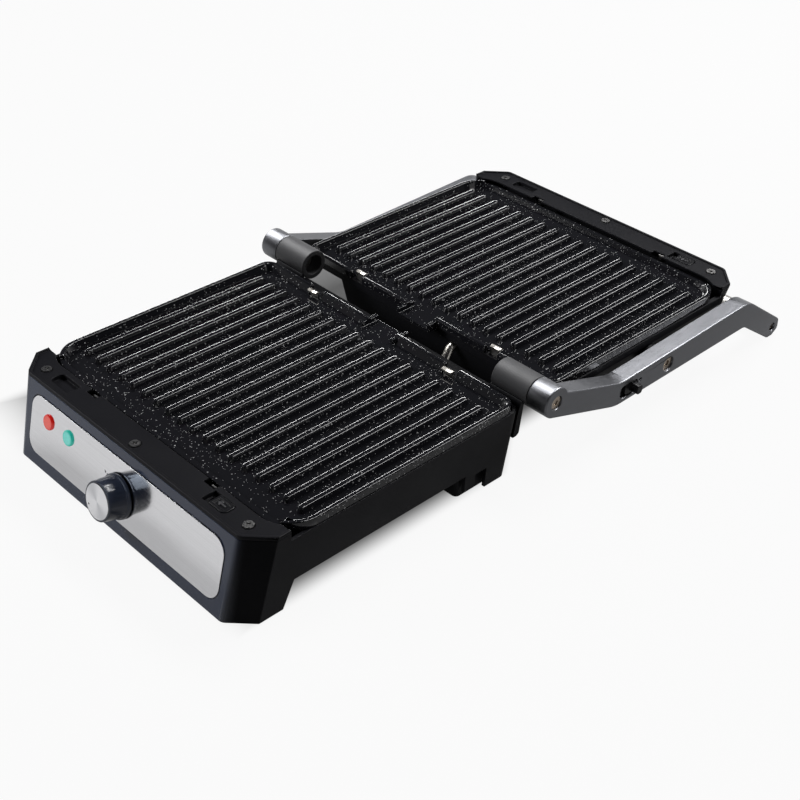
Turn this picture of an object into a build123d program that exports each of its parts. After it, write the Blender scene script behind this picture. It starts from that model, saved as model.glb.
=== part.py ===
from build123d import *
import math
import os

os.makedirs("parts", exist_ok=True)

# A contact grill opened flat: base, lid and the two arms that carry the lid.
# Millimetres. +X is the user's right, +Y runs from the control panel to the opened lid, +Z is up.
# Distances called "out" are measured along Y from the hinge axis, on the base towards the user.

# Levels and the hinge line
HINGE_Y = -8.0
RIB_TOP = 65.5
HINGE_RISE = 2.5
DECK_RISE = 3.6
SHUT_GAP = 0.8
HINGE_Z = RIB_TOP + HINGE_RISE
DECK_TOP = RIB_TOP + DECK_RISE
LID_DROP = 2 * (DECK_RISE - HINGE_RISE) + SHUT_GAP
HINGE_PLANE = Plane(origin=(0, HINGE_Y, 0), x_dir=(1, 0, 0), z_dir=(0, 1, 0))

# Clearances
RUN_FIT = 0.05
MOVE_GAP = 0.3
SEAT_GAP = 0.5

# Grill plate
PLATE_WIDTH = 289.0
PLATE_DEPTH = 222.5
PLATE_OUT = 20.5
PLATE_FRONT_R = 26.0
PLATE_REAR_R = 11.0
PLATE_FLOOR = 4.0
RIB_COUNT = 18
RIB_SIDE_MARGIN = 17.0
RIB_REAR_MARGIN = 20.0
RIB_FRONT_MARGIN = 22.5
RIB_HEIGHT = 4.0
RIB_BASE = 7.5
RIB_CREST = 4.0
RIB_ROUND = 1.3
RIM_RISE = 1.8
FRONT_RIM_RISE = -0.8
RIM_FOOT = 6.5
RIM_CREST = 3.4
RIM_ROUND = 1.0
BORDER_FLOOR = 1.0
SLAB_SIDE_INSET = 4.4
SLAB_REAR_INSET = 9.0
FLOOR_Z = RIB_TOP - RIB_HEIGHT
RIM_TOP = RIB_TOP + RIM_RISE
BORDER_Z = FLOOR_Z - BORDER_FLOOR
SLAB_Z = FLOOR_Z - PLATE_FLOOR
SPOUT_WIDTH = 32.0
SPOUT_WALL = 3.0
SPOUT_REACH = 9.0
SPOUT_FLOOR = 3.0
SPOUT_WALL_DROP = 1.6
SPOUT_NOTCH_GAP = 2.0
SPOUT_NOTCH_DEPTH = 8.0
HOOK_INSET = 65.5
HOOK_WIDTH = 10.0
HOOK_NOTCH = 14.0
HOOK_NOTCH_DEPTH = 7.2
HOOK_T = 1.5
HOOK_RISE = 1.0
HOOK_LIP = 3.0
HOOK_LIP_T = 1.3
HOOK_X = PLATE_WIDTH / 2 - HOOK_INSET

# Base walls, deck and fascia
WALL = 3.0
FOOT_LIFT = 0.8
BELLY_Z = 23.0
HOUSING_MARGIN = 1.0
REAR_MARGIN = 1.5
REAR_LEDGE = 4.5
DECK_DEPTH = 26.0
CORNER_CUT = 18.0
NOSE_R = 7.0
DECK_EDGE = 3.0
DECK_LIP = 2.2
DECK_LIP_STEP = 1.2
DECK_PLATE_GAP = 2.5
DECK_TAIL = 3.0
DECK_ROUND = 0.6
FASCIA_LEAN = 13.57
SIDE_DRAFT = 0.043
REAR_DRAFT = 0.17
REAR_CORNER_R = 9.0
REAR_CORNER_DRAFT = 0.08
HOUSING_HALF = PLATE_WIDTH / 2 + HOUSING_MARGIN
REAR_OUT = PLATE_OUT + REAR_MARGIN
TUB_REAR_OUT = PLATE_OUT - REAR_LEDGE
PLATE_FRONT_OUT = PLATE_OUT + PLATE_DEPTH
FRONT_OUT = PLATE_FRONT_OUT + DECK_DEPTH
FASCIA_TOP = DECK_TOP - DECK_EDGE
TUB_TOP = BORDER_Z - SEAT_GAP
SPOUT_NOTCH_HALF = SPOUT_WIDTH / 2 + SPOUT_WALL + SPOUT_NOTCH_GAP
SPOUT_NOTCH_Z = FLOOR_Z - SPOUT_NOTCH_DEPTH

# Feet and bottom pan
PAN_T = 2.0
PAN_LEDGE = 4.0
FOOT_PAD_R = 9.0
FOOT_PAD_T = 3.0
FOOT_BOSS_R = 11.0
FRONT_FOOT_BACK = 13.0
FOOT_INSET = 18.5
REAR_PAD_AHEAD = 52.5
REAR_PAD_INSET = 5.0
REAR_PAD_WIDTH = 20.0
REAR_PAD_LENGTH = 42.0
REAR_PAD_R = 4.0
REAR_SKIRT = 39.0
FRONT_HEEL = 21.0
HEEL_RAKE = 9.5
REAR_HEEL = 26.6
SLOT_LENGTH = 12.0
SLOT_Z = 19.5
TAB_LENGTH = 11.0
TAB_Z = 7.5
FRONT_FOOT_OUT = FRONT_OUT - FRONT_FOOT_BACK
REAR_PAD_OUT = REAR_OUT + REAR_PAD_AHEAD - REAR_PAD_LENGTH / 2
REAR_HEEL_OUT = REAR_OUT + REAR_HEEL
TAB_REAR_OUT = REAR_HEEL_OUT + SLOT_LENGTH
TAB_FRONT_OUT = TAB_REAR_OUT + TAB_LENGTH

# Control panel
PANEL_SIDE_MARGIN = 10.5
PANEL_HEIGHT = 48.6
PANEL_UP = 4.0
PANEL_R = 12.0
PANEL_T = 1.7
PANEL_PROUD = 0.5
PANEL_GROOVE = 0.7
PANEL_ROUND = 0.35
KNOB_Z = 30.5
LENS_R = 6.2
LENS_DOME = 1.5
LENS_ROUND = 1.0
LENS_LIP = 1.4
LENS_UP = 12.9
LENS_INSET = 24.0
LENS_PITCH = 26.4
LAMP_R = 4.5
LAMP_LENGTH = 14.0
KNOB_SKIRT_R = 17.4
KNOB_GRIP_R = 16.4
KNOB_CAP_R = 13.6
KNOB_SKIRT_T = 2.4
KNOB_SKIRT_TAPER = 12.0
KNOB_DRAFT = 4.6
KNOB_HEIGHT = 17.2
KNOB_GAP = 1.0
KNOB_ROUND = 0.7
KNOB_CAP_T = 1.4
KNOB_CAP_PROUD = 0.4
KNOB_CAP_ROUND = 0.3
KNOB_MARK_INSET = 2.8
KNOB_MARK_ANGLE = 215.0
KNOB_MARK_R = 0.8
SHAFT_R = 3.0
BUSH_R = 5.0
THERMOSTAT_SIZE = 26.0
THERMOSTAT_DEPTH = 20.0
THERMOSTAT_CORNER_R = 2.0
PANEL_WIDTH = 2 * (HOUSING_HALF - CORNER_CUT - PANEL_SIDE_MARGIN)
POWER_LENS_X = LENS_INSET - PANEL_WIDTH / 2
WORKING_LENS_X = POWER_LENS_X + LENS_PITCH

# Deck fittings
SCREW_HEAD_R = 4.0
SCREW_HEAD_T = 1.6
SCREW_SHANK_R = 1.8
SCREW_LENGTH = 9.0
SCREW_SLOT = 1.0
SIDE_SCREW_INSET = 24.0
SIDE_SCREW_BACK = 12.4
MID_SCREW_BACK = 8.0
POCKET_LENGTH = 24.0
POCKET_WIDTH = 12.0
POCKET_DEPTH = 3.6
POCKET_FLOOR = 1.6
POCKET_BACK = 12.7
POCKET_NOSE_FLAT = 4.0
POCKET_CORNER_R = 1.5
POCKET_PAN_R = 4.0
BUTTON_SPACING = 19.5
SCOOP_SPACING = 25.6
BUTTON_LENGTH = 17.0
BUTTON_RIM = 2.2
BUTTON_ROUND = 0.5
THUMB_DEPTH = 0.8
THUMB_TAPER = 30.0
BUTTON_TRAVEL = 6.0
BUTTON_STEM = 8.0
CLIP_INSET = 73.5
CLIP_WIDTH = 4.5
CLIP_NOTCH = 12.0
CLIP_NOTCH_DEPTH = 5.0
LATCH_BAR_T = 1.8
LATCH_BAR_WIDTH = 5.0
LATCH_BAR_TAIL = 8.0
CLIP_T = 1.2
CLIP_RISE = 5.0
CLIP_GAP = 4.6
SIDE_SCREW_X = HOUSING_HALF - SIDE_SCREW_INSET
SIDE_SCREW_OUT = FRONT_OUT - SIDE_SCREW_BACK
MID_SCREW_OUT = FRONT_OUT - MID_SCREW_BACK
POCKET_OUT = FRONT_OUT - POCKET_BACK
CLIP_X = PLATE_WIDTH / 2 - CLIP_INSET
BUTTON_POCKET_X = CLIP_X + BUTTON_SPACING
SCOOP_X = -CLIP_X - SCOOP_SPACING

# Heater
TRAY_T = 1.0
TRAY_WALL = 6.0
TRAY_SIDE_INSET = 9.0
TRAY_END_INSET = 36.0
ELEMENT_R = 3.2
ELEMENT_BEND = 18.0
ELEMENT_MARGIN = 20.0
POST_R = 4.0

# Hinge and arms
SLEEVE_R = 13.0
SLEEVE_BORE_R = 8.6
SLEEVE_ROUND = 0.8
SLEEVE_LENGTH = 36.0
SLEEVE_MOUTH = 12.0
PIN_R = SLEEVE_BORE_R - RUN_FIT
BRACKET_DEPTH = 32.0
BRACKET_FACE_OUT = 14.0
BRACKET_LEAN = 3.0
BRACKET_DROP = 2.0
BRACKET_ROUND = 4.0
BRACKET_EDGE_R = 1.0
ARM_GAP = 4.0
ARM_T = 16.0
ARM_ROUND = 1.4
ARM_BOSS_R = 13.0
TIP_OVERHANG = 34.4
TIP_RISE = 9.5
TIP_OUT = FRONT_OUT + TIP_OVERHANG
TIP = (TIP_OUT, TIP_RISE - HINGE_Z)
ARM_OUTLINE = [
    ((2.0, 7.6), 0),
    ((80.0, -18.1), 40.0),
    ((TIP_OUT - 47.9, -13.4), 30.0),
    ((TIP_OUT + 9.2, -53.0), 4.0),
    ((TIP_OUT + 10.2, -63.0), 5.0),
    ((TIP_OUT + 2.1, -HINGE_Z), 4.0),
    ((TIP_OUT - 4.9, -HINGE_Z), 4.0),
    ((TIP_OUT - 49.1, -38.4), 14.0),
    ((76.0, -39.2), 40.0),
    ((-4.3, -12.2), 0),
]
HANDLE_R = 9.0
PIVOT_AHEAD = 11.05
PIVOT_OUT = PLATE_OUT + PLATE_DEPTH / 2 + PIVOT_AHEAD
PIVOT = (PIVOT_OUT, -27.8)
PIVOT_R = 4.0
PIVOT_HEAD_R = 6.5
PIVOT_SINK = 4.0
LID_BOSS_R = 9.0
TIP_SCREW_R = 4.0
TIP_SHANK_R = 2.0
TIP_SCREW_SINK = 5.0
HINGE_SCREW_R = 5.5
HINGE_SHANK_R = 3.0
HINGE_SCREW_SINK = 3.0
LOCK_BEHIND = 51.3
LOCK_AT = (PIVOT_OUT - LOCK_BEHIND, -29.0)
LOCK_WIDTH = 12.0
LOCK_DEPTH = 4.5
LOCK_TRAVEL = 7.0
LOCK_PLATE_LENGTH = 14.4
LOCK_PLATE_T = 3.2
LOCK_THUMB_LENGTH = 7.0
LOCK_THUMB_WIDTH = 8.5
LOCK_THUMB_TAPER = 2.0
LOCK_PROUD = 6.4
LOCK_HOLE_BEHIND = 37.2
LOCK_HOLE = (PIVOT_OUT - LOCK_HOLE_BEHIND, -25.8)
LOCK_HOLE_R = 1.6
LOCK_HOLE_DEPTH = 3.0

# Lid shell
LID_CROWN_Z = 21.0
LID_TAPER = 9.0
LID_CORNER_INSET = 41.5
LID_CORNER_RUN = 39.0
LID_CROWN_ROUND = 5.0
LID_CORNER_SHIFT = 0.4
FRAME_T = 7.0
FRAME_SIDE = 4.0
FRAME_REAR = 6.0
LID_FLOOR = 2.5
LID_CORNER_X = HOUSING_HALF - LID_CORNER_INSET
LID_CORNER_OUT = REAR_OUT + LID_CORNER_RUN

# Wiring
DUCT_OUT = 8.0
DUCT_Z = 25.0
DUCT_WALL = 2.5
DUCT_ROUND = 2.0
CONDUIT_R = 3.7
CONDUIT_X = 34.5
CONDUIT_Z = 31.5
CONDUIT_LID_Z = 45.5
CONDUIT_BEND = 9.0
CONDUIT_LID_BEND = 5.0
CONDUIT_CLIMB = 60.0
CONDUIT_INSERT = 2.0
CONDUIT_LEAD = 0.5
GLAND_X = -60.0
GLAND_Z = 42.0
GLAND_R = 7.0
GLAND_FLANGE = 2.0
GLAND_NOSE = 4.0
TERMINAL = (34.0, 16.0, 14.0)

ARM_INNER = HOUSING_HALF + ARM_GAP
ARM_OUTER = ARM_INNER + ARM_T
LEAN_SLOPE = math.tan(math.radians(FASCIA_LEAN))
RIB_PITCH = (PLATE_WIDTH - 2 * RIB_SIDE_MARGIN) / (RIB_COUNT - 1)
RIB_LENGTH = PLATE_DEPTH - RIB_REAR_MARGIN - RIB_FRONT_MARGIN
RIB_TAPER = math.degrees(math.atan((RIB_BASE - RIB_CREST) / 2 / RIB_HEIGHT))
LID_SEAM_Z = TUB_TOP - LID_DROP - FRAME_T
LID_DECK_Z = FASCIA_TOP - LID_DROP
SIDES = (-1, 1)


def base_y(out):
    return HINGE_Y - out


def lid_y(out):
    return HINGE_Y + out


def front_out(z):
    return FRONT_OUT + (DECK_TOP - z) * LEAN_SLOPE


def half_width(z):
    return HOUSING_HALF - (DECK_TOP - z) * SIDE_DRAFT


def rear_out(z):
    return TUB_REAR_OUT + (TUB_TOP - z) * REAR_DRAFT


def rear_corner(z, inset):
    return max(REAR_CORNER_R - (TUB_TOP - z) * REAR_CORNER_DRAFT - inset, SEAT_GAP)


def save(piece, name):
    piece.part.label = name
    export_step(piece.part, f"parts/{name}.step")


def polygon(points):
    Polygon(*points, align=None)


def both_sides(points):
    return points + [(-x, y) for x, y in reversed(points)]


def lid_copy(piece):
    return piece.part.mirror(HINGE_PLANE).moved(Location((0, 0, -LID_DROP)))


# Grill plate: ribbed tray with a sloped border, a grease spout and two hook notches
def plate_plane(z):
    return Plane((0, base_y(PLATE_OUT + PLATE_DEPTH / 2), z))


def plate_plan(sketch, inset):
    Rectangle(PLATE_WIDTH - 2 * inset, PLATE_DEPTH - 2 * inset)
    fillet(sketch.vertices().group_by(Axis.Y)[0], PLATE_FRONT_R - inset)
    fillet(sketch.vertices().group_by(Axis.Y)[-1], PLATE_REAR_R - inset)


with BuildPart() as lower_plate:
    with BuildSketch(plate_plane(BORDER_Z)) as border_plan:
        plate_plan(border_plan, 0)
    extrude(amount=RIM_TOP - BORDER_Z)
    with BuildSketch(plate_plane(FLOOR_Z)) as tray_floor:
        plate_plan(tray_floor, RIM_FOOT)
    with BuildSketch(plate_plane(RIM_TOP)) as tray_mouth:
        plate_plan(tray_mouth, RIM_CREST)
    loft(mode=Mode.SUBTRACT)
    fillet(lower_plate.faces().group_by(Axis.Z)[-1].edges(), RIM_ROUND)
    with BuildSketch(plate_plane(RIB_TOP + FRONT_RIM_RISE)) as front_step:
        with Locations((0, -PLATE_DEPTH / 2)):
            Rectangle(PLATE_WIDTH - PLATE_FRONT_R, 2 * RIM_FOOT)
    extrude(amount=RIB_HEIGHT, mode=Mode.SUBTRACT)
    with BuildSketch(plate_plane(SLAB_Z)) as slab_plan:
        with Locations((0, -SLAB_REAR_INSET / 2)):
            Rectangle(PLATE_WIDTH - 2 * SLAB_SIDE_INSET, PLATE_DEPTH - SLAB_REAR_INSET)
        fillet(slab_plan.vertices().group_by(Axis.Y)[0], PLATE_FRONT_R)
    extrude(amount=PLATE_FLOOR)
    with BuildSketch(plate_plane(FLOOR_Z - SPOUT_FLOOR)) as spout_block:
        with Locations((0, PLATE_DEPTH / 2)):
            Rectangle(SPOUT_WIDTH + 2 * SPOUT_WALL, 2 * SPOUT_REACH)
    extrude(amount=RIM_TOP - SPOUT_WALL_DROP - FLOOR_Z + SPOUT_FLOOR)
    with BuildSketch(plate_plane(FLOOR_Z)) as spout_channel:
        with Locations((0, PLATE_DEPTH / 2)):
            Rectangle(SPOUT_WIDTH, 2 * SPOUT_REACH + RIM_FOOT)
    extrude(amount=2 * RIB_HEIGHT, mode=Mode.SUBTRACT)
    with BuildSketch(plate_plane(SLAB_Z)) as hook_notches:
        with Locations((-HOOK_X, PLATE_DEPTH / 2), (HOOK_X, PLATE_DEPTH / 2)):
            Rectangle(HOOK_NOTCH, 2 * HOOK_NOTCH_DEPTH)
    extrude(amount=RIM_TOP, mode=Mode.SUBTRACT)
    with BuildSketch(plate_plane(FLOOR_Z)) as rib_plan:
        with Locations((0, (RIB_FRONT_MARGIN - RIB_REAR_MARGIN) / 2)):
            with GridLocations(RIB_PITCH, 0, RIB_COUNT, 1):
                SlotOverall(RIB_LENGTH, RIB_BASE, rotation=90)
    extrude(amount=RIB_HEIGHT, taper=RIB_TAPER)
    crests = lower_plate.faces().filter_by(Plane.XY).filter_by_position(Axis.Z, RIB_TOP, RIB_TOP)
    fillet(crests.edges(), RIB_ROUND)
save(lower_plate, "lower_plate")

# Lid plate: the same plate on the other side of the hinge
with BuildPart() as upper_plate:
    add(lid_copy(lower_plate))
save(upper_plate, "upper_plate")


# Base housing: drafted side and rear walls with moulded feet, open above and below
def wall_plan(sketch, z, inset, front_extra):
    half = half_width(z) - inset
    rear = base_y(rear_out(z) + inset)
    front = base_y(front_out(z) - CORNER_CUT + front_extra)
    with Locations((0, (rear + front) / 2)):
        Rectangle(2 * half, rear - front)
    fillet(sketch.vertices().group_by(Axis.Y)[-1], rear_corner(z, inset))


DECK_TAIL_OUT = PLATE_FRONT_OUT - DECK_TAIL
HEEL_OUT = front_out(FOOT_LIFT) - CORNER_CUT - FRONT_HEEL
SIDE_VIEW = [
    (0, TUB_TOP),
    (DECK_TAIL_OUT, TUB_TOP),
    (DECK_TAIL_OUT, FASCIA_TOP),
    (2 * FRONT_OUT, FASCIA_TOP),
    (2 * FRONT_OUT, FOOT_LIFT),
    (HEEL_OUT, FOOT_LIFT),
    (HEEL_OUT - HEEL_RAKE, BELLY_Z),
    (TAB_FRONT_OUT, BELLY_Z),
    (TAB_FRONT_OUT, TAB_Z),
    (TAB_REAR_OUT, TAB_Z),
    (TAB_REAR_OUT, SLOT_Z),
    (REAR_HEEL_OUT, SLOT_Z),
    (REAR_HEEL_OUT, FOOT_LIFT),
    (0, FOOT_LIFT),
]
LEDGE_Z = BELLY_Z + PAN_T
WIRE_Y = base_y(DUCT_OUT)
HOOK_FOOT_Z = TUB_TOP - FRAME_T
HOOK_OUT = REAR_OUT + WALL + MOVE_GAP
REAR_FOOT_X = HOUSING_HALF - REAR_SKIRT

with BuildPart() as base_housing:
    with BuildSketch(Plane.XY.offset(FOOT_LIFT)) as ground_plan:
        wall_plan(ground_plan, FOOT_LIFT, 0, 0)
    with BuildSketch(Plane.XY.offset(FASCIA_TOP)) as top_plan:
        wall_plan(top_plan, FASCIA_TOP, 0, 0)
    loft()
    with BuildSketch(Plane.YZ) as side_view:
        polygon([(base_y(out), z) for out, z in SIDE_VIEW])
    extrude(amount=2 * HOUSING_HALF, both=True, mode=Mode.INTERSECT)
    with BuildSketch(Plane.XY.offset(FOOT_LIFT)) as ground_hollow:
        wall_plan(ground_hollow, FOOT_LIFT, WALL, WALL)
    with BuildSketch(Plane.XY.offset(FASCIA_TOP)) as top_hollow:
        wall_plan(top_hollow, FASCIA_TOP, WALL, WALL)
    loft(mode=Mode.SUBTRACT)
    with BuildSketch(Plane.XY.offset(LEDGE_Z)) as ledge:
        wall_plan(ledge, LEDGE_Z, WALL / 2, -WALL)
        with BuildSketch(mode=Mode.SUBTRACT) as ledge_opening:
            wall_plan(ledge_opening, LEDGE_Z, WALL + PAN_LEDGE, WALL)
    extrude(amount=PAN_T)
    with BuildSketch(Plane.XY) as rear_arch:
        with Locations((0, base_y(REAR_HEEL_OUT / 2))):
            Rectangle(2 * REAR_FOOT_X, REAR_HEEL_OUT)
    extrude(amount=BELLY_Z, mode=Mode.SUBTRACT)
    with BuildSketch(Plane.XY.offset(SPOUT_NOTCH_Z)) as spout_notch:
        with Locations((0, base_y(TUB_REAR_OUT))):
            Rectangle(2 * SPOUT_NOTCH_HALF, 4 * WALL)
    extrude(amount=SPOUT_NOTCH_DEPTH, mode=Mode.SUBTRACT)
    with BuildSketch(Plane.XZ.offset(-WIRE_Y)) as wire_holes:
        with Locations((GLAND_X, GLAND_Z)):
            Circle(GLAND_R / 2)
        with Locations((CONDUIT_X, CONDUIT_Z)):
            Circle(CONDUIT_R)
    extrude(amount=6 * WALL, mode=Mode.SUBTRACT)
    with BuildSketch(Plane.XY.offset(HOOK_FOOT_Z)) as hook_pads:
        with Locations(*[(x * HOOK_X, base_y((rear_out(HOOK_FOOT_Z) + HOOK_OUT) / 2)) for x in SIDES]):
            Rectangle(HOOK_NOTCH, HOOK_OUT - rear_out(HOOK_FOOT_Z))
    extrude(amount=TUB_TOP - HOOK_FOOT_Z)
save(base_housing, "base_housing")


# Bottom pan: closes the base, carries the feet, the heater tray posts and air slots
def nose_outline(half, front, cut, tail):
    return both_sides(
        [(half - cut, base_y(front)), (half, base_y(front - cut)), (half, base_y(tail))]
    )


def cut_for(inset):
    return CORNER_CUT - inset * (2 - math.sqrt(2))


ELEMENT_Z = SLAB_Z - MOVE_GAP - ELEMENT_R
TRAY_Z = ELEMENT_Z - ELEMENT_R - RUN_FIT
PAN_INSET = WALL + MOVE_GAP
POST_SPOTS = [
    (x * (PLATE_WIDTH / 2 - TRAY_SIDE_INSET - 4 * POST_R), base_y(PLATE_OUT + out))
    for x in SIDES
    for out in (2 * RIB_REAR_MARGIN, PLATE_DEPTH - 2 * RIB_REAR_MARGIN)
]
FOOT_X = half_width(FOOT_LIFT) - FOOT_INSET
REAR_PAD_X = half_width(FOOT_LIFT) - REAR_PAD_INSET - REAR_PAD_WIDTH / 2
FOOT_SPOTS = [(x * FOOT_X, base_y(FRONT_FOOT_OUT)) for x in SIDES]
REAR_PAD_SPOTS = [(x * REAR_PAD_X, base_y(REAR_PAD_OUT)) for x in SIDES]
PAD_RIM = FOOT_BOSS_R - FOOT_PAD_R

with BuildPart() as bottom_pan:
    with BuildSketch(Plane.XY.offset(BELLY_Z)) as pan_plan:
        polygon(
            nose_outline(
                half_width(BELLY_Z) - PAN_INSET,
                front_out(LEDGE_Z) - PAN_INSET,
                cut_for(PAN_INSET),
                rear_out(BELLY_Z) + PAN_INSET + REAR_CORNER_R,
            )
        )
        with Locations((0, base_y(rear_out(BELLY_Z) + PAN_INSET + REAR_CORNER_R / 2))):
            Rectangle(2 * (half_width(BELLY_Z) - PAN_INSET - REAR_CORNER_R), REAR_CORNER_R)
        with Locations((0, base_y(front_out(LEDGE_Z)))):
            Rectangle(THERMOSTAT_SIZE + 2 * WALL, 2 * THERMOSTAT_SIZE + 2 * WALL, mode=Mode.SUBTRACT)
        with Locations((0, base_y(PLATE_OUT + PLATE_DEPTH / 2))):
            with GridLocations(2 * RIB_PITCH, PLATE_DEPTH / 3, 7, 2):
                SlotOverall(PLATE_DEPTH / 6, RIB_CREST, rotation=90, mode=Mode.SUBTRACT)
    extrude(amount=PAN_T)
    with BuildSketch(Plane.XY.offset(BELLY_Z + PAN_T)) as posts:
        with Locations(*POST_SPOTS):
            Circle(POST_R)
    extrude(amount=TRAY_Z - TRAY_T - BELLY_Z - PAN_T)
    with BuildSketch(Plane.XY.offset(FOOT_PAD_T)) as foot_bosses:
        with Locations(*FOOT_SPOTS):
            Circle(FOOT_BOSS_R)
        with Locations(*REAR_PAD_SPOTS):
            RectangleRounded(REAR_PAD_WIDTH, REAR_PAD_LENGTH, REAR_PAD_R)
    extrude(amount=BELLY_Z - FOOT_PAD_T)
save(bottom_pan, "bottom_pan")

with BuildPart() as rubber_feet:
    with BuildSketch(Plane.XY) as pads:
        with Locations(*FOOT_SPOTS):
            Circle(FOOT_PAD_R)
        with Locations(*REAR_PAD_SPOTS):
            RectangleRounded(REAR_PAD_WIDTH - PAD_RIM, REAR_PAD_LENGTH - PAD_RIM, REAR_PAD_R)
    extrude(amount=FOOT_PAD_T)
save(rubber_feet, "rubber_feet")


# Front fascia: leaning skirt with cut corners, holding the control panel
FASCIA_T = WALL * math.cos(math.radians(FASCIA_LEAN))
FASCIA_PLANE = Plane(
    origin=(0, base_y(front_out(KNOB_Z)), KNOB_Z),
    x_dir=(1, 0, 0),
    z_dir=(0, -math.cos(math.radians(FASCIA_LEAN)), math.sin(math.radians(FASCIA_LEAN))),
)
OUTWARD = Axis(FASCIA_PLANE.origin, FASCIA_PLANE.z_dir)
LENS_SPOTS = [(POWER_LENS_X, LENS_UP), (WORKING_LENS_X, LENS_UP)]
LENS_STEM_R = LENS_R - LENS_LIP
PANEL_SINK = PANEL_T - PANEL_PROUD
PANEL_FACE = PANEL_PROUD


def round_nose(sketch, half, front, cut, radius):
    for x in SIDES:
        fillet(sketch.vertices().sort_by_distance((x * (half - cut), base_y(front)))[0], radius)


def skirt_outline(z):
    half = half_width(z)
    front = front_out(z)
    inner_cut = cut_for(WALL)
    right = [
        (half - CORNER_CUT, base_y(front)),
        (half, base_y(front - CORNER_CUT)),
        (half - WALL * math.sqrt(2), base_y(front - CORNER_CUT)),
        (half - WALL - inner_cut, base_y(front - WALL)),
    ]
    return both_sides(right)


with BuildPart() as front_fascia:
    with BuildSketch(Plane.XY.offset(FOOT_LIFT)) as skirt_foot:
        polygon(skirt_outline(FOOT_LIFT))
        round_nose(skirt_foot, half_width(FOOT_LIFT), front_out(FOOT_LIFT), CORNER_CUT, NOSE_R)
    with BuildSketch(Plane.XY.offset(FASCIA_TOP)) as skirt_top:
        polygon(skirt_outline(FASCIA_TOP))
        round_nose(skirt_top, half_width(FASCIA_TOP), front_out(FASCIA_TOP), CORNER_CUT, NOSE_R)
    loft(ruled=True)
    with BuildSketch(FASCIA_PLANE) as panel_seat:
        with Locations((0, PANEL_UP)):
            RectangleRounded(PANEL_WIDTH + 2 * PANEL_GROOVE, PANEL_HEIGHT + 2 * PANEL_GROOVE, PANEL_R)
    extrude(amount=-PANEL_SINK, mode=Mode.SUBTRACT)
    with BuildSketch(FASCIA_PLANE) as fascia_holes:
        with Locations(*LENS_SPOTS):
            Circle(LENS_STEM_R)
        Circle(BUSH_R)
    extrude(amount=-2 * WALL, mode=Mode.SUBTRACT)
save(front_fascia, "front_fascia")

with BuildPart() as control_panel:
    with BuildSketch(FASCIA_PLANE.offset(-PANEL_SINK)) as panel_plan:
        with Locations((0, PANEL_UP)):
            RectangleRounded(PANEL_WIDTH, PANEL_HEIGHT, PANEL_R)
    extrude(amount=PANEL_T)
    fillet(control_panel.faces().sort_by(OUTWARD)[-1].edges(), PANEL_ROUND)
    with BuildSketch(FASCIA_PLANE) as panel_holes:
        with Locations(*LENS_SPOTS):
            Circle(LENS_STEM_R)
        Circle(BUSH_R)
    extrude(amount=PANEL_T, both=True, mode=Mode.SUBTRACT)
save(control_panel, "control_panel")


# Signal lenses: domed caps with stems through panel and fascia, small lamps behind them
def signal_lens(spot):
    with BuildPart() as lens:
        with BuildSketch(FASCIA_PLANE.offset(PANEL_FACE)) as dome:
            with Locations(spot):
                Circle(LENS_R)
        extrude(amount=LENS_DOME)
        fillet(lens.faces().sort_by(OUTWARD)[-1].edges(), LENS_ROUND)
        with BuildSketch(FASCIA_PLANE.offset(PANEL_FACE)) as stem:
            with Locations(spot):
                Circle(LENS_STEM_R - RUN_FIT)
        extrude(amount=-PANEL_FACE - FASCIA_T)
    return lens


power_lens = signal_lens(LENS_SPOTS[0])
save(power_lens, "power_lens")
working_lens = signal_lens(LENS_SPOTS[1])
save(working_lens, "working_lens")

with BuildPart() as signal_lamps:
    with BuildSketch(FASCIA_PLANE.offset(-FASCIA_T)) as lamp_ends:
        with Locations(*LENS_SPOTS):
            Circle(LAMP_R)
    extrude(amount=-LAMP_LENGTH)
save(signal_lamps, "signal_lamps")

# Thermostat behind the fascia with its bush, shaft and knob
with BuildPart() as thermostat_body:
    with BuildSketch(FASCIA_PLANE.offset(-FASCIA_T)) as case_face:
        RectangleRounded(THERMOSTAT_SIZE, THERMOSTAT_SIZE, THERMOSTAT_CORNER_R)
    extrude(amount=-THERMOSTAT_DEPTH)
    with BuildSketch(FASCIA_PLANE.offset(-FASCIA_T)) as bush:
        Circle(BUSH_R - RUN_FIT)
    extrude(amount=FASCIA_T + PANEL_FACE)
    with BuildSketch(FASCIA_PLANE.offset(PANEL_FACE)) as bush_bore:
        Circle(SHAFT_R)
    extrude(amount=-PANEL_FACE - FASCIA_T - THERMOSTAT_DEPTH / 2, mode=Mode.SUBTRACT)
save(thermostat_body, "thermostat_body")

KNOB_BACK = PANEL_FACE + KNOB_GAP
KNOB_BORE = KNOB_HEIGHT / 2
KNOB_CAP_BACK = KNOB_BACK + KNOB_HEIGHT - KNOB_CAP_T
GRIP_HEIGHT = KNOB_HEIGHT - KNOB_CAP_PROUD

with BuildPart() as knob_grip:
    with BuildSketch(FASCIA_PLANE.offset(KNOB_BACK)) as skirt_disc:
        Circle(KNOB_SKIRT_R)
    extrude(amount=KNOB_SKIRT_T, taper=KNOB_SKIRT_TAPER)
    with BuildSketch(FASCIA_PLANE.offset(KNOB_BACK)) as grip_disc:
        Circle(KNOB_GRIP_R)
    extrude(amount=GRIP_HEIGHT, taper=KNOB_DRAFT)
    fillet(knob_grip.faces().sort_by(OUTWARD)[-1].edges(), KNOB_ROUND)
    with BuildSketch(FASCIA_PLANE.offset(KNOB_CAP_BACK)) as cap_recess:
        Circle(KNOB_CAP_R)
    extrude(amount=KNOB_CAP_T, mode=Mode.SUBTRACT)
    with BuildSketch(FASCIA_PLANE.offset(KNOB_BACK)) as grip_bore:
        Circle(SHAFT_R)
    extrude(amount=KNOB_BORE, mode=Mode.SUBTRACT)
save(knob_grip, "knob_grip")

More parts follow.
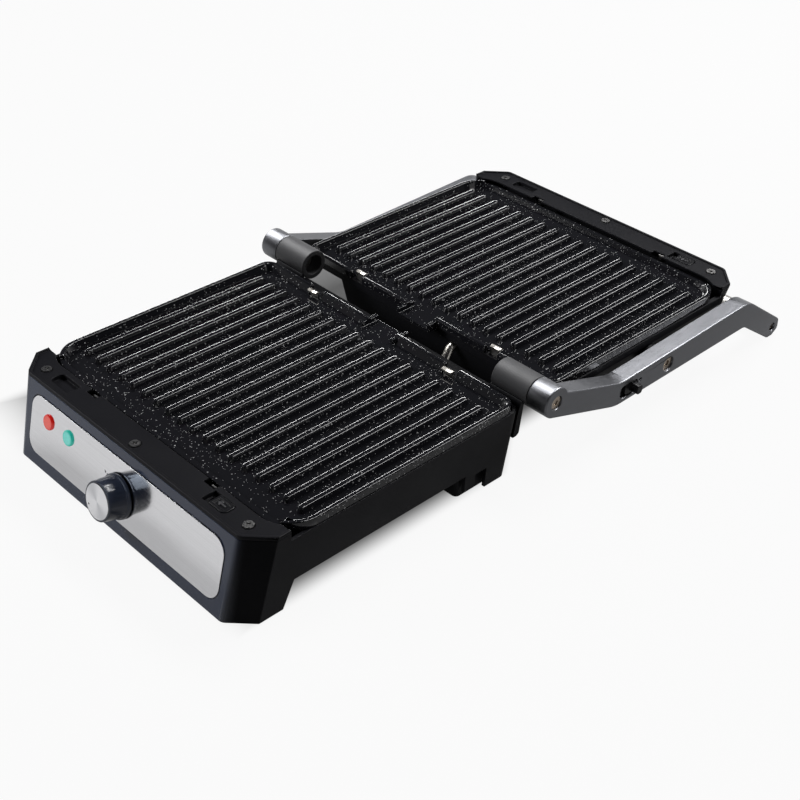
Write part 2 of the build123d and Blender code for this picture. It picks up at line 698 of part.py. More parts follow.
with BuildPart() as knob_cap:
    with BuildSketch(FASCIA_PLANE.offset(KNOB_CAP_BACK)) as cap_disc:
        Circle(KNOB_CAP_R - RUN_FIT)
    extrude(amount=KNOB_CAP_T)
    fillet(knob_cap.faces().sort_by(OUTWARD)[-1].edges(), KNOB_CAP_ROUND)
    with BuildSketch(FASCIA_PLANE.offset(KNOB_CAP_BACK)) as cap_mark:
        with PolarLocations(KNOB_CAP_R - KNOB_MARK_INSET, 1, KNOB_MARK_ANGLE):
            Circle(KNOB_MARK_R)
    extrude(amount=KNOB_CAP_T, mode=Mode.SUBTRACT)
save(knob_cap, "knob_cap")

with BuildPart() as thermostat_shaft:
    with BuildSketch(FASCIA_PLANE.offset(KNOB_BACK + KNOB_BORE)) as shaft_end:
        Circle(SHAFT_R - RUN_FIT)
    extrude(amount=-KNOB_BORE - KNOB_BACK - FASCIA_T - THERMOSTAT_DEPTH / 2 + SEAT_GAP)
save(thermostat_shaft, "thermostat_shaft")

# Deck: strip in front of the plate with an edge lip, finger scoop, button pocket and clip notches
DECK_FLOOR = DECK_TOP - DECK_LIP_STEP
POCKET_Z = DECK_FLOOR - POCKET_DEPTH
POCKET_PAN_Z = POCKET_Z - POCKET_FLOOR
DECK_SCREWS = [
    (-SIDE_SCREW_X, base_y(SIDE_SCREW_OUT)),
    (0, base_y(MID_SCREW_OUT)),
    (SIDE_SCREW_X, base_y(SIDE_SCREW_OUT)),
]
DECK_REAR_OUT = PLATE_FRONT_OUT + DECK_PLATE_GAP


def pocket_plan(sketch, length, width, outward):
    Rectangle(length, width)
    ends = sketch.vertices().group_by(Axis.X)
    fillet(ends[-1 if outward > 0 else 0], (width - POCKET_NOSE_FLAT) / 2)
    fillet(ends[0 if outward > 0 else -1], POCKET_CORNER_R)


def pocket_plane(x, z):
    return Plane((x, base_y(POCKET_OUT), z))


with BuildPart() as lower_deck:
    with BuildSketch(Plane.XY.offset(FASCIA_TOP)) as deck_under:
        polygon(nose_outline(half_width(FASCIA_TOP), front_out(FASCIA_TOP), CORNER_CUT, DECK_TAIL_OUT))
        round_nose(deck_under, half_width(FASCIA_TOP), front_out(FASCIA_TOP), CORNER_CUT, NOSE_R)
    with BuildSketch(Plane.XY.offset(DECK_TOP)) as deck_upper:
        polygon(nose_outline(HOUSING_HALF, FRONT_OUT, CORNER_CUT, DECK_TAIL_OUT))
        round_nose(deck_upper, HOUSING_HALF, FRONT_OUT, CORNER_CUT, NOSE_R)
    loft(ruled=True)
    fillet(lower_deck.faces().sort_by(Axis.Z)[-1].edges(), DECK_ROUND)
    for pocket_x in (SCOOP_X, BUTTON_POCKET_X):
        with BuildSketch(pocket_plane(pocket_x, POCKET_PAN_Z)) as pan_block:
            RectangleRounded(POCKET_LENGTH + 2 * POCKET_FLOOR, POCKET_WIDTH + 2 * POCKET_FLOOR, POCKET_PAN_R)
        extrude(amount=FASCIA_TOP - POCKET_PAN_Z)
    with BuildSketch(plate_plane(POCKET_PAN_Z)) as plate_room:
        plate_plan(plate_room, -DECK_PLATE_GAP)
    extrude(amount=2 * PLATE_FLOOR, mode=Mode.SUBTRACT)
    with BuildSketch(Plane.XY.offset(DECK_FLOOR)) as deck_recess:
        polygon(
            nose_outline(
                HOUSING_HALF - DECK_LIP, FRONT_OUT - DECK_LIP, cut_for(DECK_LIP), PLATE_OUT
            )
        )
        round_nose(
            deck_recess, HOUSING_HALF - DECK_LIP, FRONT_OUT - DECK_LIP, cut_for(DECK_LIP), NOSE_R - DECK_LIP
        )
    extrude(amount=DECK_EDGE, mode=Mode.SUBTRACT)
    with BuildSketch(pocket_plane(SCOOP_X, POCKET_Z)) as scoop:
        pocket_plan(scoop, POCKET_LENGTH, POCKET_WIDTH, SCOOP_X)
    extrude(amount=2 * POCKET_DEPTH, mode=Mode.SUBTRACT)
    with BuildSketch(pocket_plane(BUTTON_POCKET_X, POCKET_Z)) as button_pocket:
        pocket_plan(button_pocket, POCKET_LENGTH, POCKET_WIDTH, BUTTON_POCKET_X)
    extrude(amount=2 * POCKET_DEPTH, mode=Mode.SUBTRACT)
    with BuildSketch(pocket_plane(BUTTON_POCKET_X, POCKET_PAN_Z)) as stem_slot:
        Rectangle(BUTTON_STEM + 2 * BUTTON_TRAVEL + 4 * MOVE_GAP, LATCH_BAR_WIDTH)
    extrude(amount=2 * POCKET_FLOOR, mode=Mode.SUBTRACT)
    with BuildSketch(Plane.XY.offset(POCKET_PAN_Z)) as clip_notches:
        with Locations((-CLIP_X, base_y(DECK_REAR_OUT)), (CLIP_X, base_y(DECK_REAR_OUT))):
            Rectangle(CLIP_NOTCH, 2 * CLIP_NOTCH_DEPTH)
    extrude(amount=2 * PLATE_FLOOR, mode=Mode.SUBTRACT)
    with BuildSketch(Plane.XY.offset(DECK_FLOOR)) as head_seats:
        with Locations(*DECK_SCREWS):
            Circle(SCREW_HEAD_R + MOVE_GAP)
    extrude(amount=-SCREW_HEAD_T / 2, mode=Mode.SUBTRACT)
    with BuildSketch(Plane.XY.offset(DECK_FLOOR)) as shank_holes:
        with Locations(*DECK_SCREWS):
            Circle(SCREW_SHANK_R + RUN_FIT)
    extrude(amount=-DECK_EDGE, mode=Mode.SUBTRACT)
save(lower_deck, "lower_deck")

with BuildPart() as lower_deck_screws:
    with BuildSketch(Plane.XY.offset(DECK_FLOOR - SCREW_HEAD_T / 2)) as heads:
        with Locations(*DECK_SCREWS):
            Circle(SCREW_HEAD_R)
    extrude(amount=SCREW_HEAD_T)
    with BuildSketch(Plane.XY.offset(DECK_FLOOR)) as shanks:
        with Locations(*DECK_SCREWS):
            Circle(SCREW_SHANK_R)
    extrude(amount=-SCREW_LENGTH)
    with BuildSketch(Plane.XY.offset(DECK_FLOOR + SCREW_HEAD_T / 2)) as cross_slots:
        with Locations(*DECK_SCREWS):
            Rectangle(SCREW_HEAD_R, SCREW_SLOT)
            Rectangle(SCREW_SLOT, SCREW_HEAD_R)
    extrude(amount=-SCREW_HEAD_T / 2, mode=Mode.SUBTRACT)
save(lower_deck_screws, "lower_deck_screws")

# Release button in its pocket and the latch bar it slides, with two spring clips at the plate edge
BUTTON_X = BUTTON_POCKET_X + (POCKET_LENGTH - BUTTON_LENGTH) / 2 - SEAT_GAP
BUTTON_WIDTH = POCKET_WIDTH - 2 * SEAT_GAP
LATCH_TOP = POCKET_PAN_Z - MOVE_GAP
CLIP_FACE_OUT = PLATE_FRONT_OUT + CLIP_GAP
CLIP_NOSES = [x * CLIP_X + BUTTON_TRAVEL / 2 for x in SIDES]

with BuildPart() as lower_button:
    with BuildSketch(pocket_plane(BUTTON_X, POCKET_Z + MOVE_GAP)) as button_plan:
        pocket_plan(button_plan, BUTTON_LENGTH, BUTTON_WIDTH, BUTTON_X)
    extrude(amount=POCKET_DEPTH)
    fillet(lower_button.faces().sort_by(Axis.Z)[-1].edges(), BUTTON_ROUND)
    with BuildSketch(pocket_plane(BUTTON_X, POCKET_Z + MOVE_GAP + POCKET_DEPTH)) as thumb_hollow:
        pocket_plan(thumb_hollow, BUTTON_LENGTH - 2 * BUTTON_RIM, BUTTON_WIDTH - 2 * BUTTON_RIM, BUTTON_X)
    extrude(amount=-THUMB_DEPTH, taper=THUMB_TAPER, mode=Mode.SUBTRACT)
    with BuildSketch(pocket_plane(BUTTON_POCKET_X + BUTTON_TRAVEL, LATCH_TOP)) as stem_plan:
        Rectangle(BUTTON_STEM, LATCH_BAR_WIDTH - 2 * SEAT_GAP)
    extrude(amount=POCKET_Z + 2 * MOVE_GAP - LATCH_TOP)
save(lower_button, "lower_button")

with BuildPart() as lower_latch:
    bar_left = -CLIP_X - LATCH_BAR_TAIL
    bar_right = BUTTON_POCKET_X + BUTTON_TRAVEL + LATCH_BAR_TAIL
    with BuildSketch(Plane.XY.offset(LATCH_TOP)) as latch_plan:
        with Locations(((bar_left + bar_right) / 2, base_y(POCKET_OUT))):
            Rectangle(bar_right - bar_left, LATCH_BAR_WIDTH)
        with Locations(*[(x, base_y((CLIP_FACE_OUT + POCKET_OUT) / 2)) for x in CLIP_NOSES]):
            Rectangle(CLIP_WIDTH, POCKET_OUT - CLIP_FACE_OUT)
    extrude(amount=-LATCH_BAR_T)
    with BuildSketch(Plane.XY.offset(LATCH_TOP)) as clip_noses:
        with Locations(*[(x, base_y(CLIP_FACE_OUT + CLIP_T / 2)) for x in CLIP_NOSES]):
            Rectangle(CLIP_WIDTH, CLIP_T)
    extrude(amount=CLIP_RISE)
save(lower_latch, "lower_latch")

# Steel hooks that hold the rear edge of the plate
HOOK_TOP = RIB_TOP + HOOK_RISE

with BuildPart() as lower_plate_hooks:
    for side in SIDES:
        with BuildSketch(Plane.YZ.offset(side * HOOK_X)) as hook_profile:
            polygon(
                [
                    (base_y(HOOK_OUT), HOOK_FOOT_Z),
                    (base_y(HOOK_OUT), HOOK_TOP),
                    (base_y(HOOK_OUT + HOOK_T + HOOK_LIP), HOOK_TOP),
                    (base_y(HOOK_OUT + HOOK_T + HOOK_LIP), HOOK_TOP - HOOK_LIP_T),
                    (base_y(HOOK_OUT + HOOK_T), HOOK_TOP - HOOK_LIP_T),
                    (base_y(HOOK_OUT + HOOK_T), HOOK_FOOT_Z),
                ]
            )
        extrude(amount=HOOK_WIDTH / 2, both=True)
save(lower_plate_hooks, "lower_plate_hooks")

# Heater: a bent tubular element lying in a reflector tray under the plate
TRAY_WIDTH = PLATE_WIDTH - 2 * TRAY_SIDE_INSET
TRAY_DEPTH = PLATE_DEPTH - 2 * TRAY_END_INSET

with BuildPart() as lower_reflector:
    with BuildSketch(plate_plane(TRAY_Z - TRAY_T)) as tray_plan:
        RectangleRounded(TRAY_WIDTH, TRAY_DEPTH, PLATE_REAR_R)
    extrude(amount=TRAY_WALL + TRAY_T)
    with BuildSketch(plate_plane(TRAY_Z)) as tray_hollow:
        RectangleRounded(TRAY_WIDTH - 2 * TRAY_T, TRAY_DEPTH - 2 * TRAY_T, PLATE_REAR_R - TRAY_T)
    extrude(amount=2 * TRAY_WALL, mode=Mode.SUBTRACT)
save(lower_reflector, "lower_reflector")

ELEMENT_HALF = TRAY_WIDTH / 2 - ELEMENT_MARGIN
ELEMENT_END = TRAY_DEPTH / 2 - ELEMENT_MARGIN
ELEMENT_INNER = ELEMENT_HALF / 2

with BuildPart() as lower_heating_element:
    with BuildLine(plate_plane(ELEMENT_Z)) as element_path:
        FilletPolyline(
            (-ELEMENT_BEND, ELEMENT_END),
            (-ELEMENT_HALF, ELEMENT_END),
            (-ELEMENT_HALF, -ELEMENT_END),
            (-ELEMENT_INNER, -ELEMENT_END),
            (-ELEMENT_INNER, ELEMENT_BEND),
            (ELEMENT_INNER, ELEMENT_BEND),
            (ELEMENT_INNER, -ELEMENT_END),
            (ELEMENT_HALF, -ELEMENT_END),
            (ELEMENT_HALF, ELEMENT_END),
            (ELEMENT_BEND, ELEMENT_END),
            radius=ELEMENT_BEND,
        )
    with BuildSketch(Plane(element_path.line @ 0, z_dir=element_path.line % 0)) as element_section:
        Circle(ELEMENT_R)
    sweep()
save(lower_heating_element, "lower_heating_element")

with BuildPart() as terminal_block:
    with BuildSketch(Plane((GLAND_X, base_y(2 * REAR_OUT + TERMINAL[1]), BELLY_Z + PAN_T))) as block_plan:
        Rectangle(TERMINAL[0], TERMINAL[1])
    extrude(amount=TERMINAL[2])
save(terminal_block, "terminal_block")

# Rear ducts: two channels on the rear wall, left and right of the spout, for the cord and the lid wiring
SLEEVE_OUTER_X = HOUSING_HALF + SEAT_GAP
SLEEVE_INNER_X = SLEEVE_OUTER_X - SLEEVE_LENGTH
DUCT_TOP = TUB_TOP - SEAT_GAP


def duct_profile(wall):
    return [
        (base_y(rear_out(DUCT_Z + wall)), DUCT_Z + wall),
        (base_y(DUCT_OUT + wall), DUCT_Z + wall),
        (base_y(DUCT_OUT + wall), DUCT_TOP - wall),
        (base_y(rear_out(DUCT_TOP - wall)), DUCT_TOP - wall),
    ]


with BuildPart() as rear_ducts:
    for side in SIDES:
        with BuildSketch(Plane.YZ.offset(side * SPOUT_NOTCH_HALF)) as duct_side:
            polygon(duct_profile(0))
            fillet(duct_side.vertices().group_by(Axis.X)[-1], DUCT_ROUND)
        extrude(amount=side * (SLEEVE_INNER_X - SPOUT_NOTCH_HALF))
        with BuildSketch(Plane.YZ.offset(side * (SPOUT_NOTCH_HALF + DUCT_WALL))) as duct_hollow:
            polygon(duct_profile(DUCT_WALL))
        extrude(amount=side * (SLEEVE_INNER_X - SPOUT_NOTCH_HALF - 2 * DUCT_WALL), mode=Mode.SUBTRACT)
    with BuildSketch(Plane.XZ.offset(-WIRE_Y)) as duct_holes:
        with Locations((GLAND_X, GLAND_Z)):
            Circle(GLAND_R)
        with Locations((CONDUIT_X, CONDUIT_Z)):
            Circle(CONDUIT_R + RUN_FIT)
    extrude(amount=2 * DUCT_WALL, mode=Mode.SUBTRACT)
save(rear_ducts, "rear_ducts")

# Cord entry gland in the left duct
with BuildPart() as cord_gland:
    with BuildSketch(Plane.XZ.offset(-WIRE_Y)) as gland_flange:
        with Locations((GLAND_X, GLAND_Z)):
            Circle(GLAND_R + GLAND_FLANGE)
    extrude(amount=-GLAND_FLANGE)
    with BuildSketch(Plane.XZ.offset(-WIRE_Y)) as gland_body:
        with Locations((GLAND_X, GLAND_Z)):
            Circle(GLAND_R - RUN_FIT)
    extrude(amount=2 * DUCT_WALL)
    with BuildSketch(Plane.XZ.offset(-WIRE_Y - GLAND_FLANGE)) as gland_nose:
        with Locations((GLAND_X, GLAND_Z)):
            Circle(GLAND_R)
    extrude(amount=-GLAND_NOSE, taper=KNOB_SKIRT_TAPER)
    with BuildSketch(Plane.XZ.offset(-WIRE_Y)) as gland_bore:
        with Locations((GLAND_X, GLAND_Z)):
            Circle(GLAND_R / 2)
    extrude(amount=4 * WALL, both=True, mode=Mode.SUBTRACT)
save(cord_gland, "cord_gland")

# Hinge: bracket on the rear wall, sleeve on the bracket, pin turning in the sleeve
BRACKET_Z = RIB_TOP - BRACKET_DEPTH
BRACKET_TOP_Z = TUB_TOP - BRACKET_DROP
HINGE_CENTRE = (HINGE_Y, HINGE_Z)
PIN_INNER_X = SLEEVE_INNER_X + SLEEVE_MOUTH + SEAT_GAP
PIN_OUTER_X = ARM_OUTER - 2 * HINGE_SCREW_SINK


def across(side, x):
    return Plane.YZ.offset(side * x)


def hinge_bracket(side):
    with BuildPart() as bracket:
        with BuildSketch(across(side, SLEEVE_INNER_X)) as web:
            polygon(
                [
                    (base_y(rear_out(BRACKET_Z)), BRACKET_Z),
                    (base_y(BRACKET_FACE_OUT), BRACKET_Z),
                    (base_y(BRACKET_FACE_OUT - BRACKET_LEAN), HINGE_Z - SLEEVE_R / 2),
                    (base_y(SLEEVE_R), HINGE_Z - BRACKET_DROP),
                    (base_y(rear_out(BRACKET_TOP_Z)), BRACKET_TOP_Z),
                ]
            )
            fillet(web.vertices().group_by(Axis.Y)[-1], BRACKET_EDGE_R)
            lowest = web.vertices().group_by(Axis.Y)[0]
            fillet(lowest.sort_by(Axis.X)[-1], BRACKET_ROUND)
        extrude(amount=side * (SLEEVE_LENGTH - WALL))
        with BuildSketch(across(side, SLEEVE_INNER_X)) as sleeve_seat:
            with Locations(HINGE_CENTRE):
                Circle(SLEEVE_R)
        extrude(amount=side * SLEEVE_LENGTH, mode=Mode.SUBTRACT)
    return bracket


def hinge_sleeve(side):
    with BuildPart() as sleeve:
        with BuildSketch(across(side, SLEEVE_INNER_X)) as tube:
            with Locations(HINGE_CENTRE):
                Circle(SLEEVE_R)
                Circle(SLEEVE_BORE_R, mode=Mode.SUBTRACT)
        extrude(amount=side * SLEEVE_LENGTH)
        fillet(sleeve.edges().filter_by(GeomType.CIRCLE), SLEEVE_ROUND)
    return sleeve


def hinge_pin(side):
    with BuildPart() as pin:
        with BuildSketch(across(side, PIN_INNER_X)) as pin_end:
            with Locations(HINGE_CENTRE):
                Circle(PIN_R)
        extrude(amount=side * (PIN_OUTER_X - PIN_INNER_X))
    return pin


# Arm: boss on the hinge, sloping neck, long stretch beside the lid and a tip bent down to the handle
def arm_point(spot):
    return (lid_y(spot[0]), HINGE_Z + spot[1])


LOCK_LENGTH = LOCK_PLATE_LENGTH + LOCK_TRAVEL + 2 * MOVE_GAP


def arm(side):
    with BuildPart() as limb:
        with BuildSketch(across(side, ARM_INNER)) as outline:
            polygon([arm_point(spot) for spot, _ in ARM_OUTLINE])
            for spot, radius in ARM_OUTLINE:
                if radius:
                    fillet(outline.vertices().sort_by_distance(arm_point(spot))[0], radius)
            with Locations(HINGE_CENTRE):
                Circle(ARM_BOSS_R)
        extrude(amount=side * ARM_T)
        fillet(limb.faces().sort_by(Axis.X)[-1 if side > 0 else 0].edges(), ARM_ROUND)
        with BuildSketch(across(side, SLEEVE_OUTER_X + MOVE_GAP)) as boss:
            with Locations(HINGE_CENTRE):
                Circle(ARM_BOSS_R)
        extrude(amount=side * (ARM_INNER - SLEEVE_OUTER_X))
        with BuildSketch(across(side, SLEEVE_OUTER_X)) as pin_hole:
            with Locations(HINGE_CENTRE):
                Circle(PIN_R)
        extrude(amount=side * (PIN_OUTER_X - SLEEVE_OUTER_X), mode=Mode.SUBTRACT)
        with BuildSketch(across(side, ARM_OUTER)) as sinks:
            with Locations(HINGE_CENTRE):
                Circle(HINGE_SCREW_R + MOVE_GAP)
        extrude(amount=-side * HINGE_SCREW_SINK, mode=Mode.SUBTRACT)
        with BuildSketch(across(side, ARM_OUTER)) as shank_holes:
            with Locations(HINGE_CENTRE):
                Circle(HINGE_SHANK_R)
            with Locations(arm_point(TIP)):
                Circle(TIP_SHANK_R)
        extrude(amount=-side * ARM_T, mode=Mode.SUBTRACT)
        with BuildSketch(across(side, ARM_OUTER)) as pivot_sink:
            with Locations(arm_point(PIVOT)):
                Circle(PIVOT_HEAD_R + MOVE_GAP)
        extrude(amount=-side * PIVOT_SINK, mode=Mode.SUBTRACT)
        with BuildSketch(across(side, ARM_OUTER)) as pivot_hole:
            with Locations(arm_point(PIVOT)):
                Circle(PIVOT_R)
        extrude(amount=-side * ARM_T, mode=Mode.SUBTRACT)
        with BuildSketch(across(side, ARM_OUTER)) as tip_hole:
            with Locations(arm_point(TIP)):
                Circle(TIP_SCREW_R + MOVE_GAP)
        extrude(amount=-side * TIP_SCREW_SINK, mode=Mode.SUBTRACT)
        if side > 0:
            with BuildSketch(across(side, ARM_OUTER)) as lock_recess:
                with Locations(arm_point(LOCK_AT)):
                    RectangleRounded(LOCK_LENGTH, LOCK_WIDTH, LOCK_WIDTH / 3)
            extrude(amount=-LOCK_DEPTH, mode=Mode.SUBTRACT)
            with BuildSketch(across(side, ARM_OUTER)) as lock_hole:
                with Locations(arm_point(LOCK_HOLE)):
                    Circle(LOCK_HOLE_R)
            extrude(amount=-LOCK_HOLE_DEPTH, mode=Mode.SUBTRACT)
    return limb


def screw_pair(spot, head_r, sink, head_t, shank_r, shank_end_x):
    with BuildPart() as screws:
        for side in SIDES:
            seat = across(side, ARM_OUTER - sink)
            with BuildSketch(seat) as head:
                with Locations(arm_point(spot)):
                    Circle(head_r)
            extrude(amount=side * head_t)
            with BuildSketch(across(side, ARM_OUTER - sink + head_t)) as socket:
                with Locations(arm_point(spot)):
                    RegularPolygon(head_r / 2, 6)
            extrude(amount=-side * head_t / 2, mode=Mode.SUBTRACT)
            with BuildSketch(seat) as shank:
                with Locations(arm_point(spot)):
                    Circle(shank_r)
            extrude(amount=-side * (ARM_OUTER - sink - shank_end_x))
    return screws


for side, word in ((-1, "left"), (1, "right")):
    save(hinge_bracket(side), f"hinge_bracket_{word}")
    save(hinge_sleeve(side), f"hinge_sleeve_{word}")
    save(hinge_pin(side), f"hinge_pin_{word}")
    save(arm(side), f"arm_{word}")

PIVOT_END_X = HOUSING_HALF - LID_BOSS_R
hinge_screws = screw_pair(
    (0, 0), HINGE_SCREW_R, HINGE_SCREW_SINK, HINGE_SCREW_SINK / 2, HINGE_SHANK_R, PIN_OUTER_X
)
save(hinge_screws, "hinge_screws")
pivot_screws = screw_pair(
    PIVOT, PIVOT_HEAD_R, PIVOT_SINK, PIVOT_SINK / 2, PIVOT_R, PIVOT_END_X
)
save(pivot_screws, "pivot_screws")
handle_screws = screw_pair(
    TIP, TIP_SCREW_R, TIP_SCREW_SINK, TIP_SCREW_SINK / 2, TIP_SHANK_R, ARM_INNER
)
save(handle_screws, "handle_screws")

with BuildPart() as handle_bar:
    with BuildSketch(across(-1, ARM_INNER)) as bar_end:
        with Locations(arm_point(TIP)):
            Circle(HANDLE_R)
    extrude(amount=2 * ARM_INNER)
save(handle_bar, "handle_bar")

# Hinge lock: a thumb slider in the recess of the right arm
LOCK_REST = (LOCK_AT[0] + LOCK_TRAVEL / 2, LOCK_AT[1])
LOCK_FLOOR_X = ARM_OUTER - LOCK_DEPTH + MOVE_GAP
with BuildPart() as hinge_lock:
    with BuildSketch(across(1, LOCK_FLOOR_X)) as slider_plan:
        with Locations(arm_point(LOCK_REST)):
            RectangleRounded(LOCK_PLATE_LENGTH, LOCK_WIDTH - 2 * MOVE_GAP, LOCK_WIDTH / 3)
    extrude(amount=LOCK_PLATE_T)
    with BuildSketch(across(1, LOCK_FLOOR_X)) as thumb_plan:
        with Locations(arm_point((LOCK_REST[0] + LOCK_THUMB_LENGTH / 3, LOCK_REST[1]))):
            RectangleRounded(LOCK_THUMB_LENGTH, LOCK_THUMB_WIDTH, LOCK_THUMB_LENGTH / 3)
    extrude(amount=ARM_OUTER + LOCK_PROUD - LOCK_FLOOR_X, taper=LOCK_THUMB_TAPER)
save(hinge_lock, "hinge_lock")


# Lid shell: tapered cover under the lid plate, cut back at the hinge corners
def lid_inset(z):
    return LID_TAPER * (LID_DECK_Z - z) / (LID_DECK_Z - LID_CROWN_Z)


def lid_outline(inset):
    half = HOUSING_HALF - inset
    far = FRONT_OUT - inset
    corner = inset * LID_CORNER_SHIFT
    return both_sides(
        [
            (LID_CORNER_X - corner, lid_y(REAR_OUT + inset)),
            (half, lid_y(LID_CORNER_OUT + corner)),
            (half, lid_y(far - cut_for(inset))),
            (half - cut_for(inset), lid_y(far)),
        ]
    )


LID_HOLLOW_Z = LID_CROWN_Z + LID_FLOOR
LID_POSTS = [(x, 2 * HINGE_Y - y) for x, y in POST_SPOTS]
PIVOT_CENTRE = arm_point(PIVOT)

with BuildPart() as lid_cover:
    with BuildSketch(Plane.XY.offset(LID_CROWN_Z)) as crown_plan:
        polygon(lid_outline(LID_TAPER))
    with BuildSketch(Plane.XY.offset(LID_DECK_Z)) as shell_mouth:
        polygon(lid_outline(0))
    loft(ruled=True)
    fillet(lid_cover.faces().sort_by(Axis.Z)[0].edges(), LID_CROWN_ROUND)
    with BuildSketch(Plane.XY.offset(LID_HOLLOW_Z)) as hollow_floor:
        polygon(lid_outline(lid_inset(LID_HOLLOW_Z) + WALL))
    with BuildSketch(Plane.XY.offset(LID_DECK_Z)) as hollow_mouth:
        polygon(lid_outline(WALL))
    loft(ruled=True, mode=Mode.SUBTRACT)
    with BuildSketch(Plane.XY.offset(LID_SEAM_Z)) as seam_cut:
        with Locations((0, lid_y(DECK_TAIL_OUT / 2))):
            Rectangle(3 * HOUSING_HALF, DECK_TAIL_OUT)
    extrude(amount=LID_DECK_Z, mode=Mode.SUBTRACT)
    for side in SIDES:
        with BuildSketch(across(side, PIVOT_END_X)) as pivot_boss:
            with Locations(PIVOT_CENTRE):
                Circle(LID_BOSS_R)
        extrude(amount=side * (ARM_INNER - MOVE_GAP - PIVOT_END_X))
        with BuildSketch(across(side, PIVOT_END_X)) as pivot_bore:
            with Locations(PIVOT_CENTRE):
                Circle(PIVOT_R + RUN_FIT)
        extrude(amount=side * ARM_INNER, mode=Mode.SUBTRACT)
    with BuildSketch(Plane.XY.offset(LID_HOLLOW_Z)) as lid_posts:
        with Locations(*LID_POSTS):
            Circle(POST_R)
    extrude(amount=TRAY_Z - TRAY_T - LID_DROP - LID_HOLLOW_Z)
    with BuildSketch(Plane.XZ.offset(-lid_y(REAR_OUT))) as lid_wire_hole:
        with Locations((CONDUIT_X, CONDUIT_LID_Z)):
            Circle(CONDUIT_R + MOVE_GAP)
    extrude(amount=4 * WALL, both=True, mode=Mode.SUBTRACT)
save(lid_cover, "lid_cover")

# Lid rims: left and right edge mouldings on the cover, under the plate and its hooks
with BuildPart() as lid_rims:
    frame_far = lid_y(DECK_TAIL_OUT - SEAT_GAP)
    frame_near = lid_y(REAR_OUT)
    with BuildSketch(Plane.XY.offset(LID_SEAM_Z)) as frame_plan:
        with Locations((0, (frame_near + frame_far) / 2)):
            Rectangle(2 * HOUSING_HALF, frame_far - frame_near)
        fillet(frame_plan.vertices().group_by(Axis.Y)[0], REAR_CORNER_R)
        with Locations((0, (frame_near + frame_far) / 2 + FRAME_REAR)):
            Rectangle(2 * (HOUSING_HALF - FRAME_SIDE), frame_far - frame_near, mode=Mode.SUBTRACT)
        with Locations((0, frame_near)):
            Rectangle(2 * SPOUT_NOTCH_HALF, 4 * FRAME_REAR, mode=Mode.SUBTRACT)
        with Locations(*[(x * HOOK_X, lid_y(HOOK_OUT) + FRAME_REAR) for x in SIDES]):
            Rectangle(HOOK_WIDTH + 2 * MOVE_GAP, 2 * FRAME_REAR, mode=Mode.SUBTRACT)
    extrude(amount=FRAME_T)
save(lid_rims, "lid_rims")

# Lid fittings: the base's deck, latch, hooks and heater again on the lid side
LID_TWINS = {
    "upper_deck": lower_deck,
    "upper_deck_screws": lower_deck_screws,
    "upper_button": lower_button,
    "upper_latch": lower_latch,
    "upper_plate_hooks": lower_plate_hooks,
    "upper_reflector": lower_reflector,
    "upper_heating_element": lower_heating_element,
}
for name, piece in LID_TWINS.items():
    with BuildPart() as twin:
        add(lid_copy(piece))
    save(twin, name)

# Wire conduit rising from the right duct into the near wall of the lid
WIRE_LID_Y = lid_y(REAR_OUT + lid_inset(CONDUIT_LID_Z))
CLIMB_SIN = math.sin(math.radians(CONDUIT_CLIMB))
CLIMB_COS = math.cos(math.radians(CONDUIT_CLIMB))
CLIMB_RISE = CONDUIT_LID_Z - CONDUIT_Z - (CONDUIT_BEND + CONDUIT_LID_BEND) * (1 - CLIMB_COS)
CLIMB_LENGTH = CLIMB_RISE / CLIMB_SIN
CLIMB_RUN = (CONDUIT_BEND + CONDUIT_LID_BEND) * CLIMB_SIN + CLIMB_LENGTH * CLIMB_COS
WIRE_START = (WIRE_Y - CONDUIT_INSERT, CONDUIT_Z)
WIRE_TURN = (WIRE_LID_Y - CONDUIT_LEAD - CLIMB_RUN, CONDUIT_Z)

with BuildPart() as wire_conduit:
    with BuildLine(Plane.YZ.offset(CONDUIT_X)) as wire_path:
        lead = Line(WIRE_START, WIRE_TURN)
        rise = JernArc(lead @ 1, lead % 1, CONDUIT_BEND, CONDUIT_CLIMB)
        climb = PolarLine(rise @ 1, CLIMB_LENGTH, CONDUIT_CLIMB)
        level = JernArc(climb @ 1, climb % 1, CONDUIT_LID_BEND, -CONDUIT_CLIMB)
        Line(level @ 1, (WIRE_LID_Y + CONDUIT_INSERT, CONDUIT_LID_Z))
    with BuildSketch(Plane((CONDUIT_X, WIRE_Y - CONDUIT_INSERT, CONDUIT_Z), z_dir=(0, 1, 0))) as wire_end:
        Circle(CONDUIT_R)
    sweep()
save(wire_conduit, "wire_conduit")
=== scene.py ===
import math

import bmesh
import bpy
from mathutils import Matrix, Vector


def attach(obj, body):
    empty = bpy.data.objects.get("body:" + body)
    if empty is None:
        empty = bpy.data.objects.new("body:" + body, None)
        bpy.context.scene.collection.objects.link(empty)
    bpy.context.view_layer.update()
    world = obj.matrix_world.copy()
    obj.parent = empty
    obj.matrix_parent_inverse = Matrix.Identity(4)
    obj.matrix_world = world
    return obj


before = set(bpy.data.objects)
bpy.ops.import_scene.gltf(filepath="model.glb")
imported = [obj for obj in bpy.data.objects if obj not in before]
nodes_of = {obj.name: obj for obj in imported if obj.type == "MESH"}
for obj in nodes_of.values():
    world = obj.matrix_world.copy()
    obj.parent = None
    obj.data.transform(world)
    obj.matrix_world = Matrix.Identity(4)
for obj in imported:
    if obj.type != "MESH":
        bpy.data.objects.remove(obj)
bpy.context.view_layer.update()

# %% [markdown]
# # A contact grill, lying open
# The imported model already holds every hard piece of the grill in its place.
# This lesson sets up the camera and the studio, gives each piece its finish,
# and adds the small trims that a machined solid leaves out.

MM = 0.001
